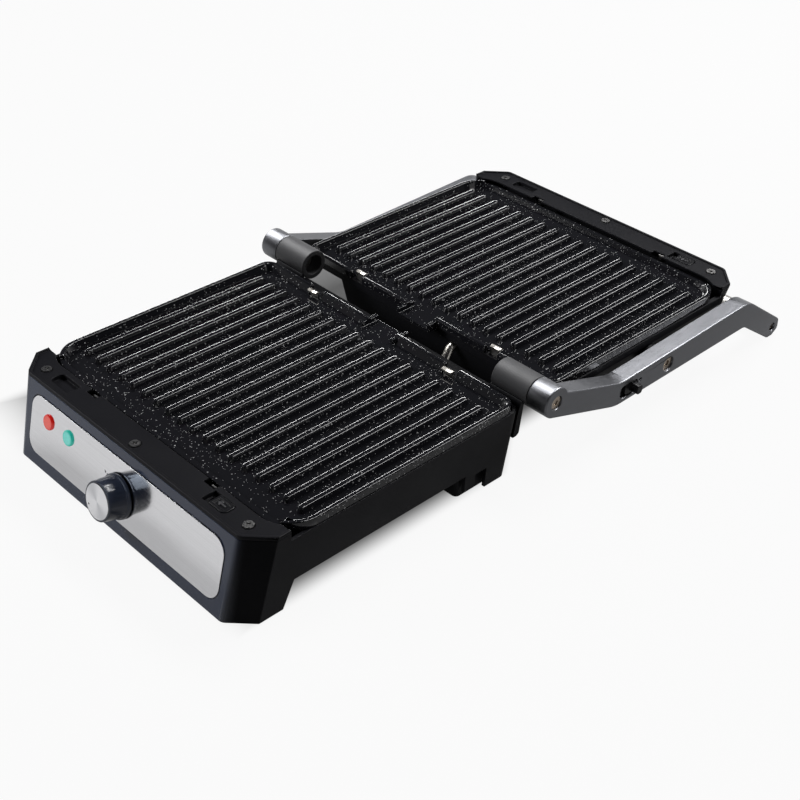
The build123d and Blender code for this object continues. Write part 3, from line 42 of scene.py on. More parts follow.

# %% [markdown]
# ## Camera
# The grill is seen from the front right and from above, through a long lens.
# A camera can be placed by hand until the edges line up, or worked out from known edges.
# Here it is worked out: two angles, a slight roll and a place, turned into one matrix.

# %% Place the camera
AZIMUTH, ELEVATION, ROLL = math.radians(45.02), math.radians(35.09), math.radians(2.0)
CAMERA_PLACE = (0.6661, -0.6733, 0.6453)
SENSOR_MM, LENS_MM = 36, 60.98
right = Vector((math.cos(AZIMUTH), math.sin(AZIMUTH), 0))
back = Vector(
    (
        math.sin(AZIMUTH) * math.cos(ELEVATION),
        -math.cos(AZIMUTH) * math.cos(ELEVATION),
        math.sin(ELEVATION),
    )
)
up = back.cross(right)
rolled_right = right * math.cos(ROLL) + up * math.sin(ROLL)
rolled_up = up * math.cos(ROLL) - right * math.sin(ROLL)

camera = bpy.data.objects.new("camera", bpy.data.cameras.new("camera"))
camera.data.sensor_width = SENSOR_MM
camera.data.lens = LENS_MM
turned = Matrix((rolled_right, rolled_up, back)).transposed().to_4x4()
camera.matrix_world = Matrix.Translation(CAMERA_PLACE) @ turned
scene = bpy.context.scene
scene.collection.objects.link(camera)
scene.camera = camera
print("lens", LENS_MM, "mm")

# %% [markdown]
# ## Studio
# A dark, glossy object is drawn by what it mirrors, so the studio is part of the finish.
# It could be a picture of a real studio, but a few plain shapes are easier to steer.
# Their colours are worked out in node trees, and a node tree takes many lines to write out.
# These helpers keep it short: each adds one node and returns what that node gives out.


# %% Helpers for node trees
def plain_tree(holder):
    holder.use_nodes = True
    holder.node_tree.nodes.clear()
    return holder.node_tree


def join(tree, value, socket):
    if isinstance(value, bpy.types.NodeSocket):
        tree.links.new(value, socket)
    else:
        socket.default_value = value


def calculate(tree, operation, first, second=0.5):
    node = tree.nodes.new("ShaderNodeMath")
    node.operation = operation
    join(tree, first, node.inputs[0])
    join(tree, second, node.inputs[1])
    return node.outputs[0]


def rescale(tree, value, start, end, low=0.0, high=1.0, smooth=False):
    node = tree.nodes.new("ShaderNodeMapRange")
    node.interpolation_type = "SMOOTHSTEP" if smooth else "LINEAR"
    labels = ("Value", "From Min", "From Max", "To Min", "To Max")
    for label, number in zip(labels, (value, start, end, low, high)):
        join(tree, number, node.inputs[label])
    return node.outputs["Result"]


def mix_shaders(tree, share, first, second):
    node = tree.nodes.new("ShaderNodeMixShader")
    for value, socket in zip((share, first, second), node.inputs):
        join(tree, value, socket)
    return node.outputs[0]


print("helpers for node trees are ready")

# %% [markdown]
# ### Sky
# A studio's walls are bright low down and dark above, so level faces stay dark
# while round edges catch a line. The wall at the front right, behind the viewer, is the dimmest.
# One even grey would be simpler, but it would wash out the black plates.
# A ramp over the height and a second one across the view give both, and the camera sees white.

# %% Sky
WHITE = (1, 1, 1, 1)
SKY_STOPS = ((0.02, (0.9, 0.9, 0.9, 1)), (0.3, (0.06, 0.062, 0.07, 1)))  # height, colour
REAR_LEFT, FRONT_RIGHT = (-0.5, 1.0), (0.1, 0.35)  # across the view, strength
scene.view_settings.view_transform = "Standard"
scene.world = bpy.data.worlds.new("studio")
tree = plain_tree(scene.world)
direction = tree.nodes.new("ShaderNodeSeparateXYZ")
join(tree, tree.nodes.new("ShaderNodeTexCoord").outputs["Generated"], direction.inputs[0])
height = tree.nodes.new("ShaderNodeValToRGB")
for element, (position, colour) in zip(height.color_ramp.elements, SKY_STOPS):
    element.position = position
    element.color = colour
join(tree, direction.outputs["Z"], height.inputs["Fac"])
across_view = calculate(tree, "SUBTRACT", direction.outputs["X"], direction.outputs["Y"])
strength = rescale(
    tree, across_view, REAR_LEFT[0], FRONT_RIGHT[0], low=REAR_LEFT[1], high=FRONT_RIGHT[1]
)
sky = tree.nodes.new("ShaderNodeBackground")
join(tree, height.outputs["Color"], sky.inputs["Color"])
join(tree, strength, sky.inputs["Strength"])
backdrop = tree.nodes.new("ShaderNodeBackground")
backdrop.inputs["Color"].default_value = WHITE
for_camera = tree.nodes.new("ShaderNodeLightPath").outputs["Is Camera Ray"]
either = mix_shaders(tree, for_camera, sky.outputs[0], backdrop.outputs[0])
join(tree, either, tree.nodes.new("ShaderNodeOutputWorld").inputs["Surface"])
print("sky with", len(tree.nodes), "nodes")

# %% [markdown]
# ### Lamps
# Black gloss and silver are lit with large softboxes and narrow strips, and black flags keep
# each of them off the pieces that it would bleach. Light linking is the flag here:
# a lamp is told which pieces it lights, or which it never lights.
# The pieces that go together are listed once, because the finishes use the same lists.

# %% Pieces that go together
PLATES = ("lower_plate", "upper_plate")
ARMS = ("arm_left", "arm_right", "handle_bar")
ARM_SCREWS = ("hinge_screws", "pivot_screws", "handle_screws")
SMALL_METAL = ("lower_plate_hooks", "upper_plate_hooks", "wire_conduit")
DECK_SCREWS = ("lower_deck_screws", "upper_deck_screws")
SLEEVES = ("hinge_sleeve_left", "hinge_sleeve_right")
SHELLS = ("base_housing", "lower_deck", "upper_deck", "lid_cover", "lid_rims", "front_fascia")
BUTTONS = ("lower_button", "upper_button", "hinge_lock")
BRACKETS = ("hinge_bracket_left", "hinge_bracket_right")
SILVER = ARMS + ARM_SCREWS
FRONTS = SHELLS + BUTTONS + BRACKETS + ("control_panel",)
print(len(SILVER), "silver pieces,", len(FRONTS), "pieces of the shells and the panel")

# %% [markdown]
# ### Softboxes
# A softbox is a lamp behind a wide white cloth. The rear and left ones shape the arms, the handle
# and the small metal parts, and weak ones fill the front and the right.
# A sun or a point lamp would draw hard spots on satin metal, so they are all area lamps.

# %% Softboxes
MIDDLE = (0, 0, 0.05)
FRONT_LEFT = (-1.6, -1.4, 1.1)


def lamp(name, place, aim, size, watts, only=(), never=()):
    data = bpy.data.lights.new(name, "AREA")
    data.shape = "RECTANGLE"
    data.size, data.size_y = size
    data.energy = watts
    obj = bpy.data.objects.new(name, data)
    obj.location = place
    obj.rotation_euler = (Vector(aim) - Vector(place)).to_track_quat("-Z", "Y").to_euler()
    scene.collection.objects.link(obj)
    if only or never:
        chosen = bpy.data.collections.new(name + "_pieces")
        for piece in only or never:
            chosen.objects.link(nodes_of[piece])
        for item in chosen.collection_objects:
            item.light_linking.link_state = "INCLUDE" if only else "EXCLUDE"
        obj.light_linking.receiver_collection = chosen
    return obj


lamp("rear_softbox", (0, 1.25, 1.75), MIDDLE, size=(1.5, 0.5), watts=42, never=PLATES)
front_left_softbox = lamp("front_left_softbox", FRONT_LEFT, MIDDLE, size=(1.2, 1.2), watts=20)
front_left_softbox.visible_glossy = False
lamp("right_fill", (1.9, 0.1, 0.9), MIDDLE, size=(1.0, 1.0), watts=2)
left_softbox = lamp(
    "left_softbox", (-1.35, 0.1, 1.75), MIDDLE,
    size=(1.5, 1.8), watts=80, only=SILVER + SMALL_METAL + SLEEVES,
)

# %% [markdown]
# ### Strips and edge lights
# The bright lines on the ribs are long narrow lamps, mirrored in the coating.
# A low strip for each plate draws the line along one side of the ribs, and a high strip
# draws the other side. The two low strips could be one lamp, but the plates need different power.
# Small lamps in front pick out the rim of the lid's plate, the front edges and the dial.

# %% Strips and edge lights
LOW_STRIP_PLACE, LOW_STRIP_AIM = (-1.62, 1.22, 0.36), (0, 0.3, 0.06)
LOW_STRIP_WATTS = {"lower_plate": 52, "upper_plate": 32}
COOL_WHITE = (0.75, 0.86, 1.0)
for plate, watts in LOW_STRIP_WATTS.items():
    strip_name = "low_strip_" + plate
    lamp(strip_name, LOW_STRIP_PLACE, LOW_STRIP_AIM, size=(1.6, 0.4), watts=watts, only=(plate,))
lamp(
    "rim_light", (-0.57, -1.06, 0.17), (0.05, 0.25, 0.06),
    size=(0.9, 0.26), watts=1.2, only=("upper_plate",),
)
lamp(
    "high_strip", (0.55, 1.15, 1.5), (0.1, 0.1, 0.06),
    size=(0.35, 1.6), watts=31, only=PLATES + SILVER + FRONTS,
)
lamp(
    "front_edge_light", FRONT_LEFT, MIDDLE,
    size=(0.7, 0.7), watts=40, only=PLATES + SMALL_METAL + DECK_SCREWS + FRONTS,
)
front_softbox = lamp(
    "front_softbox", (-0.1, -1.2, 1.5), (0, -0.3, 0.03),
    size=(2.4, 0.6), watts=26, only=("knob_grip",),
)
front_softbox.data.color = COOL_WHITE

# %% [markdown]
# ### Floor
# The grill stands on a wide sheet of white paper. The sheet could curve up behind as a backdrop,
# but the sky is already white for the camera, so one flat square is enough.

# %% Floor
FLOOR_HALF = 6
floor_mesh = bmesh.new()
bmesh.ops.create_grid(floor_mesh, x_segments=1, y_segments=1, size=FLOOR_HALF)
floor_data = bpy.data.meshes.new("floor")
floor_mesh.to_mesh(floor_data)
floor_mesh.free()
floor = bpy.data.objects.new("floor", floor_data)
scene.collection.objects.link(floor)
print("floor", 2 * FLOOR_HALF, "m wide")

# %% [markdown]
# ### Patch under the grill
# Little light reaches the paper under the grill, and the gaps between its pieces look dark.
# The paper's glow, made in the next step, knows nothing of that,
# so a painted shadow, a patch with soft edges, is marked out for it.
# The patch is two ramps over the floor's own coordinates, which is simpler than a second sheet.

# %% Patch under the grill
PATCH_SIDE, PATCH_END = (0.15, 0.175), (0.22, 0.3)  # where its edges begin and end
HINGE_BAND = (-0.03, 0.01)
PATCH_SHIFT = (0.03, 0.06)  # how far left it lies, in front of the hinge and behind it
paper = bpy.data.materials.new("pale_floor")
floor.data.materials.append(paper)
tree = plain_tree(paper)
spot = tree.nodes.new("ShaderNodeSeparateXYZ")
join(tree, tree.nodes.new("ShaderNodeTexCoord").outputs["Object"], spot.inputs[0])
leftward = rescale(tree, spot.outputs["Y"], *HINGE_BAND, *PATCH_SHIFT)
across = calculate(tree, "ABSOLUTE", calculate(tree, "ADD", spot.outputs["X"], leftward))
along = calculate(tree, "ABSOLUTE", spot.outputs["Y"])
past_side = rescale(tree, across, *PATCH_SIDE, smooth=True)
past_end = rescale(tree, along, *PATCH_END, smooth=True)
clear = calculate(tree, "MAXIMUM", past_side, past_end)
print("patch with", len(tree.nodes), "nodes")

# %% [markdown]
# ### Paper
# A real sheet turns grey where the light falls off, so the paper also glows:
# nearly white for the camera and weakly for mirrors, but hardly at all in the patch.
# What is left is paper, a darker grey in the patch as a painted shadow, and it takes the grill's
# shadow.
# To the right, mirrors see the floor dimmer, as if a black card lay there,
# which keeps the outer walls of the plates and the right arm dark.

# %% Paper
RIGHT_BAND = (0.12, 0.2)
CAMERA_GLOW, PATCH_GLOW = 0.93, 0.1
MIRROR_GLOW = (0.34, 0.13)  # under the grill and to the right of it
MIRROR_DIM = (0.0, 0.48)
# the lower grey is a painted shadow in the patch under the grill
PAPER_AND_SHADOW_GREY = (0.15, 0.55)  # in the patch and outside it
ray = tree.nodes.new("ShaderNodeLightPath").outputs
seen = calculate(tree, "MAXIMUM", ray["Is Camera Ray"], ray["Is Transmission Ray"])
seen_glow = calculate(tree, "MULTIPLY", seen, CAMERA_GLOW)
on_right = rescale(tree, spot.outputs["X"], *RIGHT_BAND, *MIRROR_GLOW)
mirror_glow = calculate(tree, "MULTIPLY", ray["Is Glossy Ray"], on_right)
glow_share = calculate(tree, "MAXIMUM", seen_glow, mirror_glow)
glow_left = calculate(tree, "MULTIPLY", glow_share, rescale(tree, clear, 0, 1, low=PATCH_GLOW))

dim_right = rescale(tree, spot.outputs["X"], *RIGHT_BAND, *MIRROR_DIM)
dimmed = calculate(tree, "MULTIPLY", ray["Is Glossy Ray"], dim_right)
kept = calculate(tree, "SUBTRACT", 1.0, dimmed)
grey = calculate(tree, "MULTIPLY", rescale(tree, clear, 0, 1, *PAPER_AND_SHADOW_GREY), kept)
diffuse = tree.nodes.new("ShaderNodeBsdfDiffuse")
join(tree, grey, diffuse.inputs["Color"])
glow = tree.nodes.new("ShaderNodeEmission")
surface = mix_shaders(tree, glow_left, diffuse.outputs[0], glow.outputs[0])
join(tree, surface, tree.nodes.new("ShaderNodeOutputMaterial").inputs["Surface"])
print("paper with", len(tree.nodes), "nodes")

# %% [markdown]
# ## Shared effects
# Several finishes have the same kind of surface: a moulded grain, brush strokes, or pale specks.
# They could be painted, but a pattern worked out at every point has no seams.
# Each effect is built once as a node group and then placed in a material with its own values.
# The groups give out only what changes from point to point.
#
# ### Moulded grain
# Plastic takes a fine grain from its mould, and some places are a little shinier than others.
# A fine noise gives the height of the grain, and a coarse one spreads the roughness.


# %% Moulded grain
GRAIN_DETAIL, SHEEN_SCALE, SHEEN_DETAIL = 3.0, 22.0, 4.0
NOISE_BAND = (0.3, 0.7)  # where most of a noise's values lie


def effect(name, inputs, outputs):
    group = bpy.data.node_groups.new(name, "ShaderNodeTree")
    sides = group.interface
    sides.new_socket("Coordinates", in_out="INPUT", socket_type="NodeSocketVector")
    for label in inputs:
        sides.new_socket(label, in_out="INPUT", socket_type="NodeSocketFloat")
    for label in outputs:
        sides.new_socket(label, in_out="OUTPUT", socket_type="NodeSocketFloat")
    given, out = group.nodes.new("NodeGroupInput"), group.nodes.new("NodeGroupOutput")
    return group, given.outputs, out.inputs


def noise(tree, where, scale, detail=2.0, roughness=0.5):
    node = tree.nodes.new("ShaderNodeTexNoise")
    labels = ("Vector", "Scale", "Detail", "Roughness")
    for label, value in zip(labels, (where, scale, detail, roughness)):
        join(tree, value, node.inputs[label])
    return node.outputs["Fac"]


grain_inputs, grain_outputs = ("Scale", "Low", "High"), ("Height", "Roughness")
moulded_grain, given, out = effect("moulded_grain", grain_inputs, grain_outputs)
pits = noise(moulded_grain, given["Coordinates"], given["Scale"], GRAIN_DETAIL)
patches = noise(moulded_grain, given["Coordinates"], SHEEN_SCALE, SHEEN_DETAIL)
sheen = rescale(moulded_grain, patches, *NOISE_BAND, given["Low"], given["High"])
join(moulded_grain, pits, out["Height"])
join(moulded_grain, sheen, out["Roughness"])
print("group", moulded_grain.name, "with", len(moulded_grain.nodes), "nodes")

# %% [markdown]
# ### Brush strokes
# Brushed metal is a field of fine parallel scratches. One noise, stretched by the material
# that uses it, gives their height, the roughness between them and a slight change of shade.

# %% Brush strokes
STROKE_SCALE, STROKE_ROUGHNESS = 1.0, 0.7
ROUGHNESS_BAND, SHADE_BAND = (0.25, 0.75), (0.2, 0.8)
SHADES = (0.9, 1.05)
stroke_inputs, stroke_outputs = ("Low", "High"), ("Height", "Roughness", "Shade")
brushed, given, out = effect("brushed", stroke_inputs, stroke_outputs)
strokes = noise(brushed, given["Coordinates"], STROKE_SCALE, roughness=STROKE_ROUGHNESS)
sheen = rescale(brushed, strokes, *ROUGHNESS_BAND, given["Low"], given["High"])
join(brushed, strokes, out["Height"])
join(brushed, sheen, out["Roughness"])
join(brushed, rescale(brushed, strokes, *SHADE_BAND, *SHADES), out["Shade"])
print("group", brushed.name, "with", len(brushed.nodes), "nodes")

# %% [markdown]
# ### Specks
# The coating of the plates holds pale flakes of many sizes, crowded in some places.
# A pattern of cells gives one round dot in each. A cell's own random colour decides whether
# its dot is kept and how bright it is, and a coarse noise changes the share that is kept.

# %% Specks
DOT_CORE, CROWD_SCALE, CROWDING = 0.6, 26.0, (0.3, 1.6)
DIMMEST_DOT = 0.35
speckle, given, out = effect("speckle", ("Scale", "Size", "Share"), ("Mask",))
cells = speckle.nodes.new("ShaderNodeTexVoronoi")
join(speckle, given["Coordinates"], cells.inputs["Vector"])
join(speckle, given["Scale"], cells.inputs["Scale"])
own = speckle.nodes.new("ShaderNodeSeparateColor")
join(speckle, cells.outputs["Color"], own.inputs[0])
core = calculate(speckle, "MULTIPLY", given["Size"], DOT_CORE)
dot = rescale(speckle, cells.outputs["Distance"], core, given["Size"], 1.0, 0.0, smooth=True)
clouds = noise(speckle, given["Coordinates"], CROWD_SCALE)
crowd = rescale(speckle, clouds, *NOISE_BAND, *CROWDING)
wanted = calculate(speckle, "MULTIPLY", crowd, given["Share"])
chosen = calculate(speckle, "LESS_THAN", own.outputs["Red"], wanted)
shape = calculate(speckle, "MULTIPLY", chosen, dot)
brightness = rescale(speckle, own.outputs["Green"], 0.0, 1.0, low=DIMMEST_DOT)
join(speckle, calculate(speckle, "MULTIPLY", shape, brightness), out["Mask"])
print("group", speckle.name, "with", len(speckle.nodes), "nodes")

# %% [markdown]
# ## Finishes
# Every material has one Principled shader. Values that are the same all over are set on it,
# and the grain, the brushing, the specks, the lenses' clouds and edges and the painted shade on the
# fascia and the cap come in through links.


# %% Helpers for one finish
COAT_ROUGHNESS = 0.08


def finish(name, colour, metallic=0.0, roughness=0.5, specular=0.5, coat=0.0):
    material = bpy.data.materials.new(name)
    tree = plain_tree(material)
    shader = tree.nodes.new("ShaderNodeBsdfPrincipled")
    shader.inputs["Base Color"].default_value = (*colour, 1)
    shader.inputs["Metallic"].default_value = metallic
    shader.inputs["Roughness"].default_value = roughness
    shader.inputs["Specular IOR Level"].default_value = specular
    shader.inputs["Coat Weight"].default_value = coat
    shader.inputs["Coat Roughness"].default_value = COAT_ROUGHNESS
    join(tree, shader.outputs[0], tree.nodes.new("ShaderNodeOutputMaterial").inputs["Surface"])
    where = tree.nodes.new("ShaderNodeTexCoord").outputs["Object"]
    return material, tree, shader, where


def place_group(tree, group, coordinates, **values):
    node = tree.nodes.new("ShaderNodeGroup")
    node.node_tree = group
    join(tree, coordinates, node.inputs["Coordinates"])
    for label, value in values.items():
        join(tree, value, node.inputs[label])
    return node.outputs


def relief(tree, shader, height, depth):
    bump = tree.nodes.new("ShaderNodeBump")
    bump.inputs["Distance"].default_value = depth
    join(tree, height, bump.inputs["Height"])
    join(tree, bump.outputs[0], shader.inputs["Normal"])


def dress(material, *names):
    for name in names:
        slots = nodes_of[name].data.materials
        slots.clear()
        slots.append(material)


print(len(nodes_of), "pieces wait for a finish")

# %% [markdown]
# ### Black plastics
# The housing is matt with a fine spark grain, the dial is polished,
# and the hinge sleeves are a greyer, rubbery plastic. They are the same recipe with other values.
# Black plastic is seen by its reflections, so the specular level is what keeps the matt ones dark.


# %% Moulded plastics
def moulded(name, colour, sheen, scale, depth, specular=0.5, coat=0.0):
    material, tree, shader, where = finish(name, colour, specular=specular, coat=coat)
    low, high = sheen
    grain = place_group(tree, moulded_grain, where, Scale=scale, Low=low, High=high)
    join(tree, grain["Roughness"], shader.inputs["Roughness"])
    relief(tree, shader, grain["Height"], depth)
    return material


matt_black = moulded(
    "matt_black_plastic", (0.0055, 0.0055, 0.0068),
    sheen=(0.40, 0.52), scale=1100, depth=0.06 * MM, specular=0.1,
)
dial_black = moulded(
    "dial_plastic", (0.02, 0.023, 0.034),
    sheen=(0.14, 0.2), scale=600, depth=0.01 * MM, specular=0.3, coat=0.3,
)
button_black = moulded(
    "button_plastic", (0.005, 0.005, 0.006),
    sheen=(0.26, 0.36), scale=1200, depth=0.04 * MM, specular=0.2,
)
inner_black = moulded(
    "inner_plastic", (0.02, 0.02, 0.02),
    sheen=(0.5, 0.7), scale=900, depth=0.05 * MM, specular=0.3,
)
sleeve_grey = moulded(
    "dark_sleeve", (0.042, 0.042, 0.044),
    sheen=(0.42, 0.55), scale=1400, depth=0.08 * MM, specular=0.3,
)
rubber = moulded(
    "rubber", (0.015, 0.015, 0.015),
    sheen=(0.7, 0.85), scale=800, depth=0.1 * MM, specular=0.2,
)

dress(matt_black, "base_housing", "bottom_pan", "lower_deck", "upper_deck", "lid_cover", "lid_rims")
dress(matt_black, "rear_ducts", *BRACKETS)
dress(dial_black, "knob_grip")
dress(button_black, "cord_gland", *BUTTONS)
dress(inner_black, "terminal_block", "thermostat_body", "signal_lamps")
dress(sleeve_grey, *SLEEVES)
dress(rubber, "rubber_feet")
print("plastics dressed")

# %% [markdown]
# ### Polished fascia
# The fascia's front is lacquered blue-black. Its two slanting corners lose the lacquer, and their
# colour is painted shade, nearly black. The lacquer is the shader's coat. It fades out round each
# corner with the distance from the middle, as the painted shade fades in, which is simpler than a
# second material and leaves no hard line.

# %% Fascia
FASCIA_HALF = 127.5 * MM
CORNER_BAND = (FASCIA_HALF - 6 * MM, FASCIA_HALF + 4 * MM)
# the corners' colour is painted shade
FASCIA_BLUE, CORNER_PAINTED_SHADE = (0.012, 0.016, 0.03), (0.003, 0.003, 0.004)
LACQUER_IOR, LACQUER_TINT = 1.55, (0.72, 0.83, 1, 1)


def colour_between(tree, factor, first, second, blend="MIX"):
    node = tree.nodes.new("ShaderNodeMix")
    node.data_type = "RGBA"
    node.blend_type = blend
    for label, value in (("Factor", factor), ("A", first), ("B", second)):
        join(tree, value, node.inputs[label])
    return node.outputs["Result"]


fascia, tree, shader, where = finish("gloss_black_plastic", FASCIA_BLUE, specular=0.06, coat=1.0)
shader.inputs["Coat IOR"].default_value = LACQUER_IOR
shader.inputs["Coat Tint"].default_value = LACQUER_TINT
grain = place_group(tree, moulded_grain, where, Scale=700, Low=0.3, High=0.36)
join(tree, grain["Roughness"], shader.inputs["Roughness"])
relief(tree, shader, grain["Height"], 0.02 * MM)
spot = tree.nodes.new("ShaderNodeSeparateXYZ")
join(tree, where, spot.inputs[0])
from_middle = calculate(tree, "ABSOLUTE", spot.outputs["X"])
# 1 on the lacquered front, towards 0 on the corners, where the coat goes and the painted shade
# comes in
lacquer_and_no_shade = rescale(tree, from_middle, *CORNER_BAND, low=1.0, high=0.0, smooth=True)
painted_shade_to_blue = colour_between(tree, lacquer_and_no_shade, (*CORNER_PAINTED_SHADE, 1), (*FASCIA_BLUE, 1))
join(tree, lacquer_and_no_shade, shader.inputs["Coat Weight"])
join(tree, painted_shade_to_blue, shader.inputs["Base Color"])
dress(fascia, "front_fascia")
print("fascia dressed")

# %% [markdown]
# ### Non-stick coating
# The plates are cast aluminium under a black coating with pale mineral specks in two sizes.
# The specks could be painted on a UV map, but the ribs would stretch it,
# so they are cut out of a solid pattern in object space.

# %% Speckled plates
COATING, FLAKE = (0.006, 0.006, 0.0075), (0.4, 0.4, 0.4)
nonstick, tree, shader, where = finish("nonstick", COATING, specular=0.55)
large = place_group(tree, speckle, where, Scale=430, Size=0.32, Share=0.13)
small = place_group(tree, speckle, where, Scale=900, Size=0.36, Share=0.13)
flakes = calculate(tree, "MAXIMUM", large["Mask"], small["Mask"])
coating = colour_between(tree, flakes, (*COATING, 1), (*FLAKE, 1))
grain = place_group(tree, moulded_grain, where, Scale=700, Low=0.06, High=0.09)
join(tree, coating, shader.inputs["Base Color"])
join(tree, grain["Roughness"], shader.inputs["Roughness"])
relief(tree, shader, grain["Height"], 0.003 * MM)
dress(nonstick, *PLATES)
print("plates dressed")

# %% [markdown]
# ### Brushed metals
# The arms are satin silver, the panel is brushed along its length, and the screws, hooks
# and inner sheets are steel and aluminium of several shades.
# Brushing is a noise stretched along the strokes, so that one recipe serves all of them:
# the scale says how fast the noise changes along each axis.


# %% Brushed metals
def stretched(tree, where, scale, turn=(0, 0, 0), centre=(0, 0, 0)):
    mapping = tree.nodes.new("ShaderNodeMapping")
    mapping.vector_type = "TEXTURE"
    mapping.inputs["Location"].default_value = centre
    mapping.inputs["Rotation"].default_value = turn
    mapping.inputs["Scale"].default_value = [1 / s for s in scale]
    join(tree, where, mapping.inputs["Vector"])
    return mapping.outputs["Vector"]


def brushed_metal(name, colour, scale, sheen, depth):
    material, tree, shader, where = finish(name, colour, metallic=1.0)
    low, high = sheen
    strokes = place_group(tree, brushed, stretched(tree, where, scale), Low=low, High=high)
    tint = colour_between(tree, 1.0, (*colour, 1), strokes["Shade"], blend="MULTIPLY")
    join(tree, tint, shader.inputs["Base Color"])
    join(tree, strokes["Roughness"], shader.inputs["Roughness"])
    relief(tree, shader, strokes["Height"], depth)
    return material


# each row: name, colour, scale along X, Y and Z, roughness from and to, depth of the strokes
METALS = {
    row[0]: brushed_metal(*row)
    for row in (
        ("brushed_panel", (0.93, 0.93, 0.95), (12, 2600, 2600), (0.1, 0.18), 0.002 * MM),
        ("silver_arm", (0.185, 0.188, 0.2), (500, 60, 500), (0.34, 0.44), 0.01 * MM),
        ("handle_metal", (0.5, 0.49, 0.47), (20, 900, 900), (0.3, 0.42), 0.01 * MM),
        ("steel", (0.55, 0.54, 0.52), (300, 300, 300), (0.25, 0.4), 0.01 * MM),
        ("dark_steel", (0.3, 0.295, 0.29), (900, 900, 900), (0.2, 0.45), 0.04 * MM),
        ("warm_steel", (0.52, 0.44, 0.36), (300, 300, 300), (0.25, 0.4), 0.01 * MM),
        ("bright_tube", (0.92, 0.88, 0.81), (200, 200, 200), (0.22, 0.34), 0.005 * MM),
        ("reflector_sheet", (0.6, 0.6, 0.6), (20, 400, 400), (0.25, 0.4), 0.01 * MM),
        ("element_sheath", (0.25, 0.24, 0.23), (200, 200, 200), (0.4, 0.55), 0.01 * MM),
    )
}
dress(METALS["silver_arm"], "arm_left", "arm_right")
dress(METALS["handle_metal"], "handle_bar")
dress(METALS["warm_steel"], *ARM_SCREWS)
dress(METALS["dark_steel"], *DECK_SCREWS)
dress(METALS["steel"], "lower_plate_hooks", "upper_plate_hooks", "lower_latch", "upper_latch")
dress(METALS["steel"], "hinge_pin_left", "hinge_pin_right", "thermostat_shaft")
dress(METALS["bright_tube"], "wire_conduit")
dress(METALS["brushed_panel"], "control_panel")
dress(METALS["reflector_sheet"], "lower_reflector", "upper_reflector")
dress(METALS["element_sheath"], "lower_heating_element", "upper_heating_element")
print("metals dressed:", ", ".join(METALS))

# %% [markdown]
# ### Spun cap
# The dial's cap is turned on a lathe, so its scratches are rings, and light lies on it in fans.
# The rings are the brushing of the radius alone. The fans could be left to an anisotropic shader,
# which needs a direction painted on the surface. Instead the fans are painted shade in the colour,
# a darker tint by the angle round the cap, which is simpler and looks the same from every side.

# %% Spun cap
PANEL_ORIGIN = Vector((0, -286.317, 30.5)) * MM  # where the dial's axis meets the panel
LEAN = math.radians(13.57)
RINGS_PER_METRE = 4000.0
FAN_DIRECTION, FAN_SHARPNESS = (-0.7071, 0.7071, 0), 5.0
# the darker colour is the painted shade of the two fans
CAP_COLOUR, CAP_LIGHT, CAP_PAINTED_SHADE = (0.92, 0.92, 0.94), (0.95, 0.95, 0.97), (0.68, 0.685, 0.71)


def measure(tree, operation, first, second=(0, 0, 0)):
    node = tree.nodes.new("ShaderNodeVectorMath")
    node.operation = operation
    join(tree, first, node.inputs[0])
    join(tree, second, node.inputs[1])
    return node.outputs


spun_cap, tree, shader, where = finish("spun_cap", CAP_COLOUR, metallic=1.0)
face = stretched(tree, where, (1, 1, 1), (math.pi / 2 - LEAN, 0, 0), PANEL_ORIGIN)
flat = measure(tree, "MULTIPLY", face, (1, 1, 0))["Vector"]
radius = measure(tree, "LENGTH", flat)["Value"]
rings_at = tree.nodes.new("ShaderNodeCombineXYZ")
join(tree, calculate(tree, "MULTIPLY", radius, RINGS_PER_METRE), rings_at.inputs["X"])
rings = place_group(tree, brushed, rings_at.outputs[0], Low=0.14, High=0.2)
outward = measure(tree, "NORMALIZE", flat)["Vector"]
towards = measure(tree, "DOT_PRODUCT", outward, FAN_DIRECTION)["Value"]
fan = calculate(tree, "POWER", calculate(tree, "ABSOLUTE", towards), FAN_SHARPNESS)
# the fans are painted shade, darker by the angle round the cap
painted_fan_shade = colour_between(tree, fan, (*CAP_LIGHT, 1), (*CAP_PAINTED_SHADE, 1))
join(tree, painted_fan_shade, shader.inputs["Base Color"])
join(tree, rings["Roughness"], shader.inputs["Roughness"])
relief(tree, shader, rings["Height"], 0.02 * MM)
dress(spun_cap, "knob_cap")
print("cap dressed")

# %% [markdown]
# ### Signal lenses
# The lamps' caps are tinted, slightly cloudy plastic.
# Clear glass would only show the dark hole behind, so the tint is in the body of the plastic,
# with a little light of its own and a polished skin. The colour turns darker towards the edge.


# %% Signal lenses
PANEL_UP = Vector((0, math.sin(LEAN), math.cos(LEAN)))
LENS_UP = 12.9 * MM
LENS_RIM = (4.2 * MM, 6.4 * MM)
CLOUD_SCALE, CLOUD_SHADE, RIM_SHADE, LENS_GLOW = 500.0, 0.75, 0.9, 0.4


def lens(name, colour, across):
    material, tree, shader, where = finish(name, colour, roughness=0.12, coat=0.6)
    cloud = noise(tree, where, CLOUD_SCALE)
    shaded = [CLOUD_SHADE * c for c in colour]
    tone = colour_between(tree, cloud, (*shaded, 1), (*colour, 1))
    centre = PANEL_ORIGIN + Vector((across, 0, 0)) + LENS_UP * PANEL_UP
    outward = measure(tree, "DISTANCE", where, centre)["Value"]
    rim = rescale(tree, outward, *LENS_RIM, smooth=True)
    # the colour turns darker towards the edge
    darker_edge = [RIM_SHADE * c * c for c in colour]
    body = colour_between(tree, rim, tone, (*darker_edge, 1))
    join(tree, body, shader.inputs["Base Color"])
    join(tree, body, shader.inputs["Emission Color"])
    shader.inputs["Emission Strength"].default_value = LENS_GLOW
    return material


